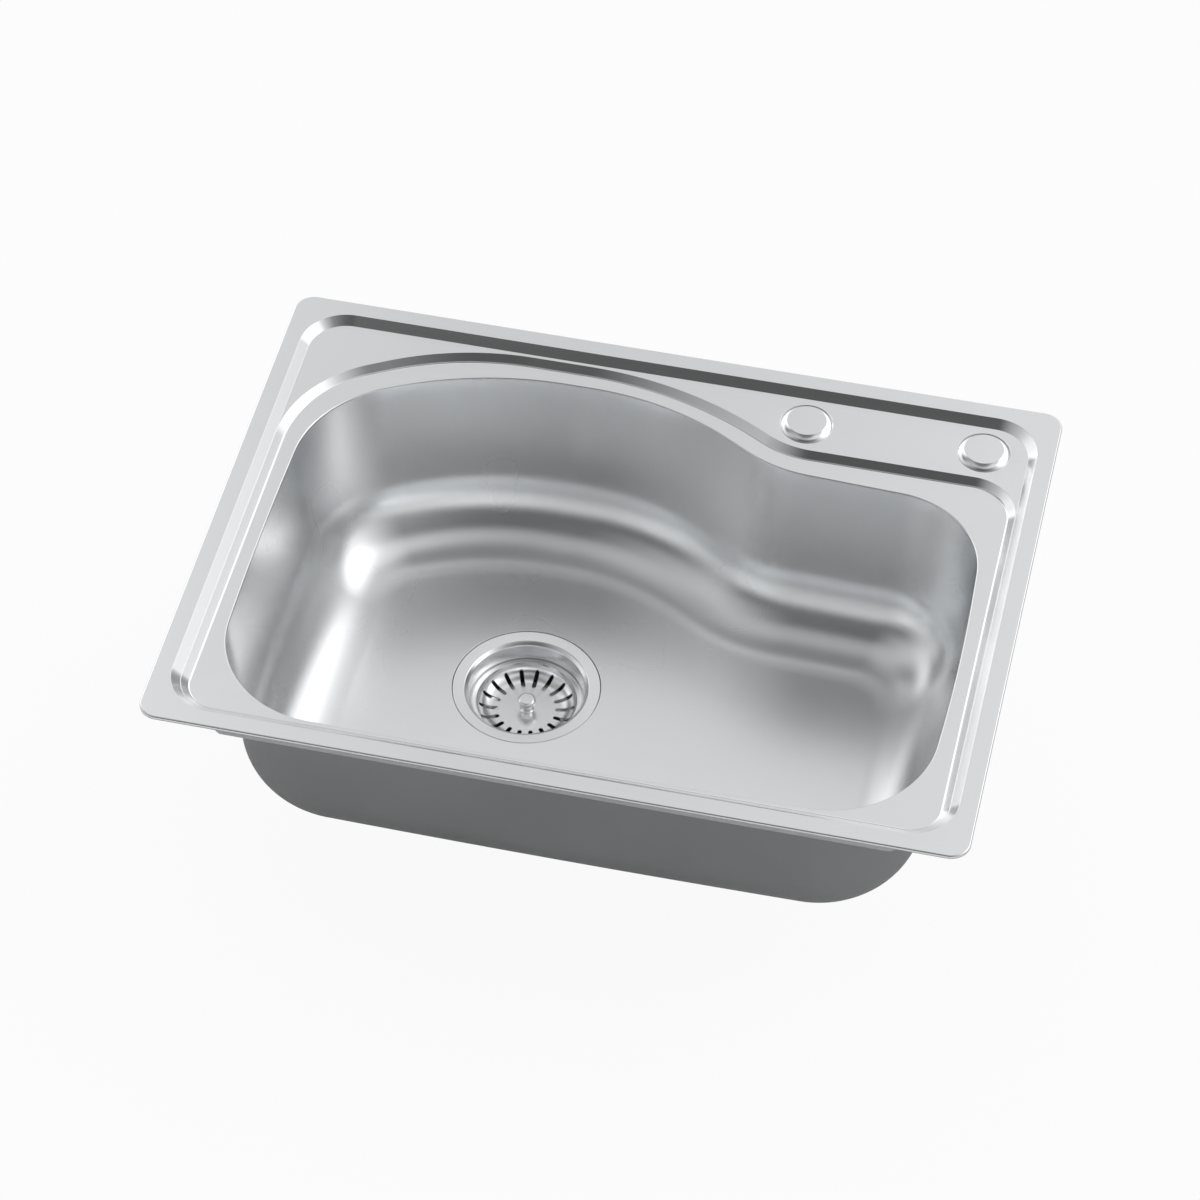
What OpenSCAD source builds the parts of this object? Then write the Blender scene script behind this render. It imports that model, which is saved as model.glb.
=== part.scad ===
// Inset kitchen sink in pressed stainless steel: stepped deck, one kidney-shaped bowl,
// two covered tap holes, basket strainer waste, fixing rails and four swing-out clips.
// Millimetres. The origin is the centre of the rim on the worktop's surface, +Z up,
// +X to the right and +Y to the back, where the taps stand.

/* [Rim] */
// Length of the rim, left to right
rim_l = 610; // [580:5:680]
// Depth of the rim, front to back
rim_d = 450; // [430:5:500]
// Corner radius of the rim
rim_r = 15; // [8:1:30]
// Height of the rim's top above the worktop
rim_h = 3; // [2.5:0.1:5]
// Width of the flat rim, from its edge to the first step
rim_w = 14; // [13:0.5:18]
// Radius of the rim's turned-down edge
edge_r = 1.2; // [1:0.1:1.5]
// Gap left between the turned-down edge and the worktop
lip_gap = 0.3; // [0.1:0.1:0.6]
// Thickness of the pressed sheet
sheet = 0.8; // [0.6:0.1:1]

/* [Steps of the deck] */
// Corner radius of the outer step's top edge
step_r = 36; // [30:1:44]
// Width of the outer step's slope
step1_w = 6.5; // [5:0.5:8]
// Drop of the outer step
step1_h = 6; // [4:0.5:8]
// Width of the inner step's slope
step2_w = 5.7; // [4.5:0.1:7]
// Drop of the inner step
step2_h = 5.4; // [4:0.2:7]
// Narrow land between the two steps at the sides and the front
land_w = 0.4; // [0.3:0.1:1]
// Land between the two steps behind the hump
hump_land = 2.5; // [1:0.5:5]
// Depth of the tap deck at the right, from the rim's back edge
tap_deck_d = 74.2; // [70:0.5:84]

/* [Inner step outline] */
// Height up the left side at which the outline turns in
ledge_turn_y = 137.5; // [125:0.5:145]
// Radius of that turn
ledge_turn_r = 100; // [60:5:110]
// Left end of the hump's top, from the centre line
ledge_hump_left = 168.6; // [155:0.5:180]
// Radius of the hump's left shoulder
ledge_left_r = 226; // [150:5:240]
// Right end of the hump's top, from the centre line
ledge_hump_right = 14; // [0:1:25]
// Radius of the hump's right shoulder
ledge_right_r = 300; // [200:5:320]
// Place of the bend at the foot of the hump
ledge_bend_x = 101; // [92:1:115]
// Radius of that bend
ledge_bend_r = 75; // [40:5:90]
// Radius of the outline's corner at the right of the tap deck
ledge_corner_r = 36.6; // [25:1:50]

/* [Bowl mouth outline] */
// Ledge beside the mouth
side_ledge = 10.3; // [9.5:0.1:14]
// Ledge in front of the mouth
front_ledge = 1.8; // [1:0.1:5]
// Ledge behind the hump of the mouth
hump_ledge = 12; // [9:0.5:16]
// Ledge behind the right part of the mouth
back_ledge = 15.5; // [12:0.5:20]
// How far each end of a side is drawn in from its middle
side_bow = 6.6; // [4:0.2:9]
// How far each end of the front is drawn in from its middle
front_bow = 3.5; // [2:0.1:6]
// How far the back falls away at the right corner
back_fall = 6; // [2:0.5:8]
// Radius of the two front corners
front_r = 86; // [60:1:95]
// Radius of the right back corner
back_r = 72; // [50:1:85]
// Place of the bend at the foot of the hump
bend_x = 95; // [85:1:105]
// Radius of that bend
bend_r = 110; // [60:5:125]
// Right end of the hump's top, from the centre line
hump_right = 4; // [-10:1:15]
// Radius of the hump's right shoulder
hump_right_r = 230; // [150:5:260]
// Left end of the hump's top, from the centre line
hump_left = 146; // [130:1:155]
// Radius of the hump's left shoulder
hump_left_r = 275; // [150:5:290]
// Height up the left side at which the outline turns in
turn_y = 123; // [110:1:130]
// Radius of that turn
turn_r = 94; // [60:1:100]

/* [Bowl] */
// Depth of the bowl, from the rim's top to its floor
bowl_depth = 165; // [140:5:200]
// Slope of the walls from upright, in degrees
draft = 4; // [2:0.5:6]
// Radius between wall and floor
floor_r = 60; // [40:1:70]
// Corner radius of the floor's outline at the front
floor_corner_r = 45; // [30:1:60]

/* [Tap holes] */
// Diameter of the two tap holes
tap_hole_d = 35; // [32:0.5:36]
// Distance between the two holes
tap_hole_pitch = 138; // [120:1:145]
// Distance from the rim's right edge to the nearer hole
tap_hole_side = 55; // [52:1:60]
// Distance from the rim's back edge to the holes' line
tap_hole_back = 47; // [45:0.5:49]
// Width of a hole cover's foot
cover_d = 41; // [39:0.5:43]
// Width of a hole cover's flat top
cover_top_d = 30.5; // [26:0.5:34]
// Height of a hole cover
cover_h = 3.9; // [3:0.1:5]
// Length of a cover's plug below the deck
plug_l = 12; // [8:1:18]
// Wall of a cover's plug
plug_wall = 2; // [1.4:0.1:2.6]
// Width of the slits in a cover's plug
plug_slit = 3; // [2:0.5:4]

/* [Waste outlet] */
// Distance of the outlet to the left of the centre line
drain_left = 70; // [50:1:80]
// Distance of the outlet behind the centre line
drain_back = 4; // [-10:1:12]
// Diameter of the recess pressed in the floor
recess_d = 117; // [116:0.5:124]
// Depth of that recess
recess_h = 3.5; // [3:0.1:5]
// Gap around the flange in its recess
flange_gap = 1; // [0.5:0.1:2]
// Drop of the flange's edge below the floor
flange_drop = 0.3; // [0.1:0.1:0.6]
// Width of the opening inside the flange
throat_d = 95.6; // [94:0.2:97]
// Rounding of the throat, across and down
throat_round = 2.4; // [1.5:0.1:3]
// Outer diameter of the threaded neck
neck_d = 94; // [92.8:0.1:95]
// Gap between the neck and the hole in the bowl
neck_gap = 1; // [0.5:0.1:1.5]
// Length of the threaded neck below the floor
neck_l = 24; // [23:0.5:28]
// Depth at which the basket is seated
seat_h = 17.7; // [15:0.1:18.5]
// Inner diameter at the seat's upper wall
seat_d = 87.6; // [87.2:0.1:88.6]
// Width of the seat
seat_w = 3.4; // [3:0.1:3.6]
// Wall of the strainer's cup
cup_wall = 1.8; // [1.4:0.1:2.4]
// Depth of the cup's bottom
cup_h = 46; // [44:0.5:52]
// Fall of the cup's bottom towards the outlet
cup_fall = 2.5; // [1.5:0.1:4]
// Width of the cup's sloping bottom
cup_floor_d = 60; // [56:1:64]
// Bore of the outlet
outlet_d = 40; // [36:1:42]
// Outer diameter of the outlet's thread
spigot_d = 48; // [47:0.5:52]
// Length of the outlet's thread
spigot_l = 22; // [18:1:30]
// Thickness of the gasket under the flange
flange_seal_t = 1; // [0.8:0.1:1.4]
// Thickness of the gasket under the floor
under_seal_t = 3; // [2:0.5:4]
// Thickness of the friction ring
friction_t = 1; // [0.6:0.1:1.6]
// Outer diameter of the lock nut
lock_nut_d = 112; // [108:1:115]
// Height of the lock nut
lock_nut_h = 12; // [9:0.5:14]
// Number of lugs round the lock nut
lock_nut_lugs = 8; // [4:1:12]

/* [Basket] */
// Outer diameter of the basket's rim
basket_d = 86; // [85:0.2:86.6]
// Width of the basket's opening
basket_mouth_d = 78.6; // [77:0.2:78.6]
// Thickness of the basket's rim
basket_rim_t = 1; // [0.8:0.1:1.4]
// Thickness of the basket's wall
basket_wall = 0.8; // [0.6:0.1:1]
// Depth of the basket inside, below its rim's top
basket_h = 10; // [9:0.2:12]
// Width of the basket's flat floor
basket_floor_d = 52; // [48:1:56]
// Number of drain slots
slot_count = 18; // [12:1:20]
// Width of a drain slot
slot_w = 3.4; // [2:0.1:3.8]
// Diameter of the ring on which the slots begin
slot_in_d = 44.6; // [42:0.2:47]
// Diameter of the ring on which the slots end
slot_out_d = 74.6; // [70:0.2:75.2]
// Gap below the basket's rim at its seat
seat_gap = 0.1; // [0.05:0.05:0.3]

/* [Knob and stopper] */
// Diameter of the knob's head
knob_d = 14.4; // [12:0.2:17]
// Height of the knob's head
knob_h = 4; // [3:0.2:5]
// Diameter of the knob's neck under its head
neck_rod_d = 9.4; // [8.6:0.2:10]
// Diameter of the knob's neck at its lower end
neck_foot_d = 7.4; // [7.2:0.2:8.4]
// Length of the knob's neck
neck_rod_l = 6.7; // [5:0.1:8]
// Diameter of the guide's foot
guide_d = 11; // [10:0.5:14]
// Height of the guide
guide_h = 1.6; // [1.2:0.1:2.4]
// Diameter of the guide's top
guide_top_d = 7.8; // [7.4:0.2:9]
// Diameter of the stem
stem_d = 6; // [5:0.2:6.4]
// Running gap round the stem
stem_fit = 0.08; // [0.04:0.01:0.1]
// Diameter of the stopper
stopper_d = 52; // [48:0.5:56]
// Thickness of the stopper
stopper_t = 4; // [3:0.5:5]
// Gap between the closed stopper and the cup
stopper_gap = 0.3; // [0.2:0.1:0.5]
// Diameter of the plate on the stopper
plate_d = 20; // [16:1:30]
// Thickness of that plate
plate_t = 1; // [0.8:0.1:1.5]
// Width of the stem's nut across its corners
stem_nut_d = 11; // [9:0.5:14]
// Height of the stem's nut
stem_nut_h = 4; // [3:0.5:5]

/* [Tailpiece] */
// Outer diameter of the tailpiece
tail_d = 40; // [38:0.5:41]
// Wall of the tailpiece
tail_wall = 1.4; // [1:0.1:2]
// Length of the tailpiece
tail_l = 52; // [44:1:55]
// Diameter of the tailpiece's collar
collar_d = 46.8; // [46:0.1:46.8]
// Thickness of that collar
collar_t = 1.5; // [1.2:0.1:2]
// Length of the tailpiece's thicker neck under that collar
tail_neck_l = 3.5; // [3.2:0.1:6]
// Extra radius of that neck, where the trap's inlet stops
tail_neck_out = 0.3; // [0.1:0.05:0.3]
// Thickness of the tail washer
tail_seal_t = 2; // [1.5:0.1:3]
// Outer diameter of the coupling nut
coupling_d = 58; // [56:1:64]
// Cover of the coupling nut over the outlet's thread
coupling_hold = 12; // [8:0.5:16]
// Thickness of the coupling nut's inner lip
coupling_lip = 2.5; // [2:0.1:4]
// Number of grips round the coupling nut
coupling_grips = 10; // [6:1:14]

/* [Seal and damping] */
// Width of the rubber seal under the rim
seal_w = 9; // [6:0.5:10]
// Gap between that seal and the turned-down edge
seal_gap = 1.2; // [0.6:0.1:2]
// Length of the damping pad
pad_l = 110; // [80:5:140]
// Depth of the damping pad
pad_d = 130; // [80:5:140]
// Thickness of the damping pad
pad_t = 4; // [2:0.5:5]
// Place of the damping pad to the right of the centre line
pad_right = 80; // [70:1:90]

/* [Fixing rails] */
// Length of a fixing rail
rail_l = 502; // [440:2:510]
// Distance of a rail's web inside the rim's edge
rail_inset = 17.5; // [16.5:0.1:18.5]
// Depth of a rail's lower edge below the rim's top
rail_h = 27.7; // [18:0.1:34]
// Width of a rail's lip
rail_lip = 7.5; // [5:0.5:8]
// Thickness of a rail
rail_t = 1.2; // [1:0.1:1.5]
// Corner cut off a rail's ends
rail_chamfer = 3; // [1:0.5:4]

/* [Fixing clips] */
// Distance of the front clips in front of the centre line
clip_front = 120; // [90:5:125]
// Distance of the back clips behind the centre line
clip_back = 45; // [30:5:50]
// Distance of a clip's screw inside the rim's edge
clip_inset = 20; // [19:0.5:22]
// Width of a clip's bracket
bracket_w = 24; // [18:1:30]
// Thickness of a clip's bracket
bracket_t = 2; // [1.5:0.1:2.5]
// Drop of a clip's foot below its weld
bracket_h = 14.8; // [13:0.2:18]
// Diameter of a clip's screw
screw_d = 5; // [4:0.5:6]
// Length of a clip's screw, from its foot's top to its head
screw_l = 36; // [34:1:44]
// Length of a clip's screw above its foot
screw_top = 1.5; // [1:0.5:3]
// Diameter of the screw's head
head_d = 9; // [8:0.5:11]
// Height of the screw's head
head_h = 4; // [3:0.5:5]
// Thickness of a clip's claw
claw_t = 2; // [1.5:0.1:2.5]
// Width of a clip's claw
claw_w = 12; // [11:0.5:14]
// Reach of a clip's claw from its screw
claw_reach = 20; // [17:0.5:20]
// Rise of the claw's tip above its hub
claw_rise = 17; // [12:0.5:19]
// Distance from the screw to the claw's upright
claw_back = 6.2; // [6:0.1:6.6]

/* [Fits] */
// Gap round a screw, nut or stem that turns or is pushed in
fit_gap = 0.05; // [0.02:0.01:0.08]
// Gap round a hole cover's plug
plug_gap = 0.15; // [0.1:0.05:0.3]

/* [Hidden] */
$fn = 96;

steel = [0.72, 0.73, 0.74];
dark_steel = [0.55, 0.56, 0.58];
rubber = [0.12, 0.12, 0.13];
plastic = [0.85, 0.85, 0.83];

// Heights
ledge1_z = rim_h - step1_h;
ledge2_z = ledge1_z - step2_h;
floor_z = rim_h - bowl_depth;

// Outer step, inner step and mouth, each measured from the one outside it
step_in = rim_w + step1_w;
ledge_x = rim_l / 2 - step_in - land_w;
ledge_front_y = -rim_d / 2 + step_in + land_w;
ledge_hump_y = rim_d / 2 - step_in - hump_land;
ledge_back_y = rim_d / 2 - tap_deck_d;
mouth_x = ledge_x - step2_w - side_ledge;
mouth_front_y = ledge_front_y + step2_w + front_ledge;
mouth_hump_y = ledge_hump_y - step2_w - hump_ledge;
mouth_back_y = ledge_back_y - step2_w - back_ledge;

// Overlap of a cut past the face it opens
cut = 1;

// Shift of a fold's underside away from the bowl
fold1 = sheet * tan(atan2(step1_h, step1_w) / 2);
fold2 = sheet * tan(atan2(step2_h, step2_w) / 2);

// Inward travel of the bowl's wall from its mouth to the flat floor
wall_top_z = ledge2_z - sheet;
wall_arc_z = floor_z + floor_r;
wall_foot_z = wall_arc_z - floor_r * sin(draft);
wall_run = (wall_top_z - wall_foot_z) * tan(draft);
floor_run = wall_run + floor_r * cos(draft);

// Corners of an outline: x, y, radius, radius at the bowl's floor, points
side_mid_y = -35;
right_crown_out = 1;
left_crown_out = 0.5;
bend_out = 1;
right_crown_r = 1700;
left_crown_r = 3200;
front_crown_r = 12000;
shoulder_shrink = 50;
floor_back_r = 38;
floor_turn_r = 48;
mouth = [
    [mouth_x - side_bow, mouth_front_y + front_bow, front_r, floor_corner_r, 12],
    [mouth_x + right_crown_out, side_mid_y, right_crown_r, right_crown_r, 4],
    [mouth_x - side_bow, mouth_back_y - back_fall, back_r, floor_back_r, 11],
    [bend_x, mouth_back_y + bend_out, bend_r, bend_r + floor_r, 8],
    [hump_right, mouth_hump_y, hump_right_r, hump_right_r - shoulder_shrink, 8],
    [-hump_left, mouth_hump_y, hump_left_r, hump_left_r - shoulder_shrink, 8],
    [-mouth_x + side_bow / 2, turn_y, turn_r, floor_turn_r, 10],
    [-mouth_x - left_crown_out, side_mid_y, left_crown_r, left_crown_r, 4],
    [-mouth_x + side_bow / 2, mouth_front_y + front_bow, front_r, floor_corner_r, 12],
    [0, mouth_front_y, front_crown_r, front_crown_r, 4]
];
inner_corner_r = step_r - step1_w - land_w;
ledge = [
    [ledge_x, ledge_front_y, inner_corner_r, 0, 10],
    [ledge_x, ledge_back_y, ledge_corner_r, 0, 10],
    [ledge_bend_x, ledge_back_y, ledge_bend_r, 0, 8],
    [ledge_hump_right, ledge_hump_y, ledge_right_r, 0, 8],
    [-ledge_hump_left, ledge_hump_y, ledge_left_r, 0, 8],
    [-ledge_x, ledge_turn_y, ledge_turn_r, 0, 10],
    [-ledge_x, ledge_front_y, inner_corner_r, 0, 10]
];
rim_outline = [
    [rim_l / 2, -rim_d / 2, rim_r, 0, 9],
    [rim_l / 2, rim_d / 2, rim_r, 0, 9],
    [-rim_l / 2, rim_d / 2, rim_r, 0, 9],
    [-rim_l / 2, -rim_d / 2, rim_r, 0, 9]
];
step_outline = [for (c = rim_outline) [
    c[0] - sign(c[0]) * rim_w, c[1] - sign(c[1]) * rim_w, step_r, 0, 9]];

// Waste outlet, measured down from the bowl's floor
drain = [-drain_left, drain_back, floor_z];
flange_d = recess_d - 2 * flange_gap;
flange_under = recess_h - flange_seal_t;
floor_under = recess_h + sheet;
neck_hole_d = neck_d + 2 * neck_gap;
friction_top = floor_under + under_seal_t;
lock_nut_top = friction_top + friction_t;
cup_d = seat_d - 2 * seat_w;
outlet_top = cup_h + cup_fall;
spigot_end = outlet_top + spigot_l;
rim_top = seat_h - seat_gap - basket_rim_t;
basket_floor = rim_top + basket_h;
guide_top = basket_floor - guide_h;
knob_base = guide_top - seat_gap;
stopper_foot = cup_h + cup_fall * (cup_floor_d - stopper_d) / (cup_floor_d - outlet_d)
    - stopper_gap;
stopper_top = stopper_foot - stopper_t;
stem_past = 1;
stem_end = stopper_foot + stem_nut_h + stem_past;
collar_top = spigot_end + tail_seal_t;
coupling_foot = collar_top + collar_t + coupling_lip;

// Tap holes, rails and clips
hole_right = [rim_l / 2 - tap_hole_side, rim_d / 2 - tap_hole_back, ledge1_z];
hole_left = hole_right - [tap_hole_pitch, 0, 0];
cap_land = 2;
cap_hollow_r = tap_hole_d / 2 - cap_land;
rail_z = rim_h - rail_h;
weld_z = ledge2_z - sheet;
foot_z = weld_z - bracket_h;
clip_x = rim_l / 2 - clip_inset;
head_z = foot_z + bracket_t - screw_l;
claw_gap = 0.2;

// Outline with rounded corners, moved inwards by off. Corner radii run from the mouth's to
// the floor's as blend goes from 0 to 1, and shrink where two neighbours would meet, so
// that at least a little straight is left between them.
room = 0.98;
function dir(c, i) =
    let (a = c[i], b = c[(i + 1) % len(c)], v = [b[0] - a[0], b[1] - a[1]]) v / norm(v);
function before(c, i) = dir(c, (i + len(c) - 1) % len(c));
function turn(c, i) =
    let (u = before(c, i), w = dir(c, i)) atan2(u[0] * w[1] - u[1] * w[0], u * w);
function moved(c, off) = [for (i = [0:len(c) - 1])
    let (u = before(c, i), w = dir(c, i), n = [-u[1] - w[1], u[0] + w[0]])
    [c[i][0], c[i][1]] + off * n / norm(n) / cos(turn(c, i) / 2)];
function tangent(c, r) = [for (i = [0:len(c) - 1]) r[i] * tan(abs(turn(c, i)) / 2)];
function outline(c, off = 0, grow = 0, blend = 0) =
    let (
        n = len(c),
        v = moved(c, off),
        r = [for (i = [0:n - 1])
            c[i][2] + (c[i][3] - c[i][2]) * blend + grow * sign(turn(c, i))],
        t = tangent(c, r),
        side = [for (i = [0:n - 1]) norm(v[(i + 1) % n] - v[i])]
    )
    [for (i = [0:n - 1])
        let (
            h = (i + n - 1) % n,
            k = min(1, room * side[h] / (t[h] + t[i]), room * side[i] / (t[i] + t[(i + 1) % n])),
            u = before(c, i),
            s = sign(turn(c, i)),
            centre = v[i] - u * t[i] * k + [-u[1], u[0]] * s * r[i] * k,
            a0 = atan2(-u[0] * s, u[1] * s)
        )
        for (q = [0:c[i][4]])
            let (a = a0 + turn(c, i) * q / c[i][4])
            centre + r[i] * k * [cos(a), sin(a)]];
function level(pts, z) = [for (p = pts) [p[0], p[1], z]];

// Skin through a list of rings. Rings of one outline are joined point to point. Two rings
// of unlike outlines lie in one plane: each triangle goes one point on along one of them,
// by the shorter new edge of those that cross neither ring.
tiny = 1e-9;
function side_of(o, p, q) =
    (p[0] - o[0]) * (q[1] - o[1]) - (p[1] - o[1]) * (q[0] - o[0]);
function ring_area(c) =
    let (n = len(c), x = [for (p = c) p[0]])
    x * [for (i = [0:n - 1]) c[(i + 1) % n][1] - c[(i + n - 1) % n][1]] / 2;
function free(p, q, ring) =
    let (n = len(ring))
    len([for (i = [0:n - 1])
        let (c = ring[i], d = ring[(i + 1) % n])
        if (side_of(p, q, c) * side_of(p, q, d) < -tiny
            && side_of(c, d, p) * side_of(c, d, q) < -tiny) i]) == 0;
function goes_on_a(pa, pb, way, first, i, j) =
    let (
        n = len(pa),
        m = len(pb),
        a = pa[i % n],
        b = pb[(first + j) % m],
        on_a = pa[(i + 1) % n],
        on_b = pb[(first + j + 1) % m],
        a_free = i < n && way * side_of(a, on_a, b) > tiny
            && free(on_a, b, pa) && free(on_a, b, pb),
        b_free = j < m && way * side_of(b, on_b, a) < -tiny
            && free(a, on_b, pa) && free(a, on_b, pb)
    )
    a_free && b_free ? norm(on_a - b) <= norm(a - on_b) : a_free || (!b_free && i < n);
function like_bands(a, b, n) = [for (i = [0:n - 1])
    let (j = (i + 1) % n) each [[a + i, b + i, b + j], [a + i, b + j, a + j]]];
function unlike_bands(pa, pb, a, b) =
    let (
        n = len(pa),
        m = len(pb),
        way = sign(ring_area(pa) - ring_area(pb)),
        far = [for (p = pb) norm(p - pa[0])],
        nearest = min(far),
        first = [for (j = [0:m - 1]) if (far[j] == nearest) j][0]
    )
    [for (i = 0, j = 0, on_a = goes_on_a(pa, pb, way, first, 0, 0);
        i + j < n + m;
        i = i + (on_a ? 1 : 0), j = j + (on_a ? 0 : 1),
            on_a = goes_on_a(pa, pb, way, first, i, j))
        [a + i % n, b + (first + j) % m,
            on_a ? a + (i + 1) % n : b + (first + j + 1) % m]];
function starts(rings) = [for (i = 0, s = 0; i < len(rings);
    s = s + len(rings[i]), i = i + 1) s];
function bands(rings, closed) =
    let (n = len(rings), at = starts(rings))
    [for (k = [0:closed ? n - 1 : n - 2])
        let (j = (k + 1) % n)
        each (len(rings[k]) == len(rings[j])
            ? like_bands(at[k], at[j], len(rings[k]))
            : [for (f = unlike_bands(rings[k], rings[j], at[k], at[j])) f])];
function joined(rings) = [for (r = rings) each r];

function rim_ring(off, z) = level(outline(rim_outline, off, -off), z);
function step_ring(off, z) = level(outline(step_outline, off, -off), z);
function ledge_ring(off, z) = level(outline(ledge, off, -off), z);
function mouth_ring(off, z) =
    level(outline(mouth, off, 0, max(0, min(1, off / floor_run))), z);

module rounded_plate(l, d, r, h) {
    linear_extrude(h)
        union() {
            square([l - 2 * r, d], center = true);
            square([l, d - 2 * r], center = true);
            for (x = [-1, 1], y = [-1, 1])
                translate([x * (l / 2 - r), y * (d / 2 - r)])
                    circle(r);
        }
}

module ring(r_out, r_in, h) {
    rotate_extrude()
        translate([r_in, 0])
            square([r_out - r_in, h]);
}

module at_drain(below = 0) {
    translate(drain - [0, 0, below])
        children();
}

// Pressed deck: turned-down rim, two steps and the ledge round the bowl's mouth
module deck() {
    edge_steps = 3;
    edge = [for (q = [0:edge_steps])
        let (a = 90 * q / edge_steps)
        rim_ring(edge_r * (1 - cos(a)), rim_h - edge_r + edge_r * sin(a))];
    top = [
        step_ring(0, rim_h),
        step_ring(step1_w, ledge1_z),
        ledge_ring(0, ledge1_z),
        ledge_ring(step2_w, ledge2_z),
        mouth_ring(0, ledge2_z)
    ];
    under = [
        mouth_ring(0, ledge2_z - sheet),
        ledge_ring(step2_w - fold2, ledge2_z - sheet),
        ledge_ring(-fold2, ledge1_z - sheet),
        step_ring(step1_w - fold1, ledge1_z - sheet),
        step_ring(-fold1, rim_h - sheet),
        rim_ring(sheet, rim_h - sheet),
        rim_ring(sheet, lip_gap)
    ];
    rings = concat([rim_ring(0, lip_gap)], edge, top, under);
    color(steel)
        difference() {
            polyhedron(joined(rings), bands(rings, true));
            for (p = [hole_left, hole_right])
                translate(p - [0, 0, 2 * sheet])
                    cylinder(d = tap_hole_d, h = 4 * sheet);
        }
}

// Drawn bowl, welded under the deck's mouth, with the outlet's recess pressed in its floor
module bowl() {
    arc_steps = 9;
    arc = [for (q = [0:arc_steps]) draft + (90 - draft) * q / arc_steps];
    inner = concat(
        [mouth_ring(0, wall_top_z)],
        [for (a = arc) mouth_ring(
            floor_run - floor_r * cos(a),
            wall_arc_z - floor_r * sin(a))]
    );
    outer_r = floor_r + sheet;
    outer = concat(
        [mouth_ring(-sheet / cos(draft), wall_top_z)],
        [for (a = arc) mouth_ring(
            floor_run - outer_r * cos(a),
            wall_arc_z - outer_r * sin(a))]
    );
    rings = concat([for (i = [len(outer) - 1:-1:0]) outer[i]], inner);
    n = len(rings[0]);
    last = n * (len(rings) - 1);
    caps = [[for (i = [0:n - 1]) i], [for (i = [0:n - 1]) last + n - 1 - i]];
    color(steel)
        difference() {
            union() {
                polyhedron(joined(rings), concat(bands(rings, false), caps));
                at_drain(floor_under)
                    cylinder(d = recess_d + 2 * sheet, h = floor_under - sheet / 2);
            }
            at_drain(recess_h)
                cylinder(d = recess_d, h = recess_h + cut);
            at_drain(floor_under + cut)
                cylinder(d = neck_hole_d, h = sheet + 2 * cut);
        }
}

// Rubber strip that the rim presses on the worktop
module rim_seal() {
    out = rim_l / 2 - sheet - seal_gap;
    deep = rim_d / 2 - sheet - seal_gap;
    r_out = rim_r - sheet - seal_gap;
    color(rubber)
        difference() {
            rounded_plate(2 * out, 2 * deep, r_out, rim_h - sheet);
            translate([0, 0, -cut])
                rounded_plate(
                    2 * (out - seal_w), 2 * (deep - seal_w),
                    max(1, r_out - seal_w), rim_h + 2 * cut);
        }
}

// Sound-damping pad stuck under the bowl's floor
module damping_pad() {
    pad_corner_r = 12;
    color(rubber)
        translate([pad_right, 0, floor_z - sheet - pad_t])
            rounded_plate(pad_l, pad_d, pad_corner_r, pad_t);
}

// Pressed cap over a tap hole, with its bulged edge
module cover_cap(p) {
    bulge_steps = 6;
    foot_h = 0.6;
    rise = cover_h - foot_h;
    r_out = cover_d / 2;
    r_top = cover_top_d / 2;
    bulge = [for (q = [0:bulge_steps])
        let (a = 90 * q / bulge_steps)
        [r_top + (r_out - r_top) * cos(a), foot_h + rise * sin(a)]];
    color(steel)
        translate(p)
            rotate_extrude()
                polygon(concat(
                    [[cap_hollow_r, 0], [r_out, 0]],
                    bulge,
                    [[0, cover_h], [0, cover_h - sheet], [cap_hollow_r, cover_h - sheet]]
                ));
}

// Split plug that holds a cap in its hole
module cover_plug(p) {
    r_plug = tap_hole_d / 2 - plug_gap;
    r_core = cap_hollow_r - fit_gap;
    core_h = cover_h - sheet;
    roof_t = 1.5;
    slit_top = 3.5;
    color(plastic)
        translate(p)
            difference() {
                union() {
                    cylinder(r = r_core, h = core_h);
                    translate([0, 0, -plug_l])
                        cylinder(r = r_plug, h = plug_l);
                }
                translate([0, 0, -plug_l - cut])
                    cylinder(r = r_plug - plug_wall, h = plug_l + cut - roof_t);
                for (a = [0, 90])
                    rotate([0, 0, a])
                        translate([-cover_d / 2, -plug_slit / 2, -plug_l - cut])
                            cube([cover_d, plug_slit, plug_l + cut - slit_top]);
            }
}

module tap_cover_cap() { cover_cap(hole_left); }
module tap_cover_plug() { cover_plug(hole_left); }
module spare_cover_cap() { cover_cap(hole_right); }
module spare_cover_plug() { cover_plug(hole_right); }

// Strainer body: flange, throat, basket seat, cup and threaded outlet
module strainer_body() {
    flange_r = flange_d / 2;
    neck_r = neck_d / 2;
    cup_r = cup_d / 2;
    cup_out_r = cup_r + cup_wall;
    dish = 1;
    round_steps = 4;
    lip = [for (q = [0:round_steps])
        let (a = 90 * q / round_steps)
        [throat_d / 2 - throat_round * sin(a),
            -flange_drop - dish - throat_round * (1 - cos(a))]];
    cup_taper = 1.5;
    bend_z = cup_h - 6;
    knuckle = 0.5;
    color(steel)
        at_drain()
            rotate_extrude()
                polygon(concat(
                    [[flange_r, -flange_under], [flange_r, -flange_drop]],
                    lip,
                    [
                        [seat_d / 2, -seat_h],
                        [cup_r, -seat_h],
                        [cup_r - cup_taper, -bend_z],
                        [cup_floor_d / 2, -cup_h],
                        [outlet_d / 2, -outlet_top],
                        [outlet_d / 2, -spigot_end],
                        [spigot_d / 2, -spigot_end],
                        [spigot_d / 2, -outlet_top - cup_wall],
                        [cup_floor_d / 2 + 2 * knuckle, -cup_h - cup_wall],
                        [cup_out_r - cup_taper + knuckle, -bend_z - knuckle],
                        [cup_out_r, -neck_l],
                        [neck_r, -neck_l],
                        [neck_r, -flange_under]
                    ]
                ));
}

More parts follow.
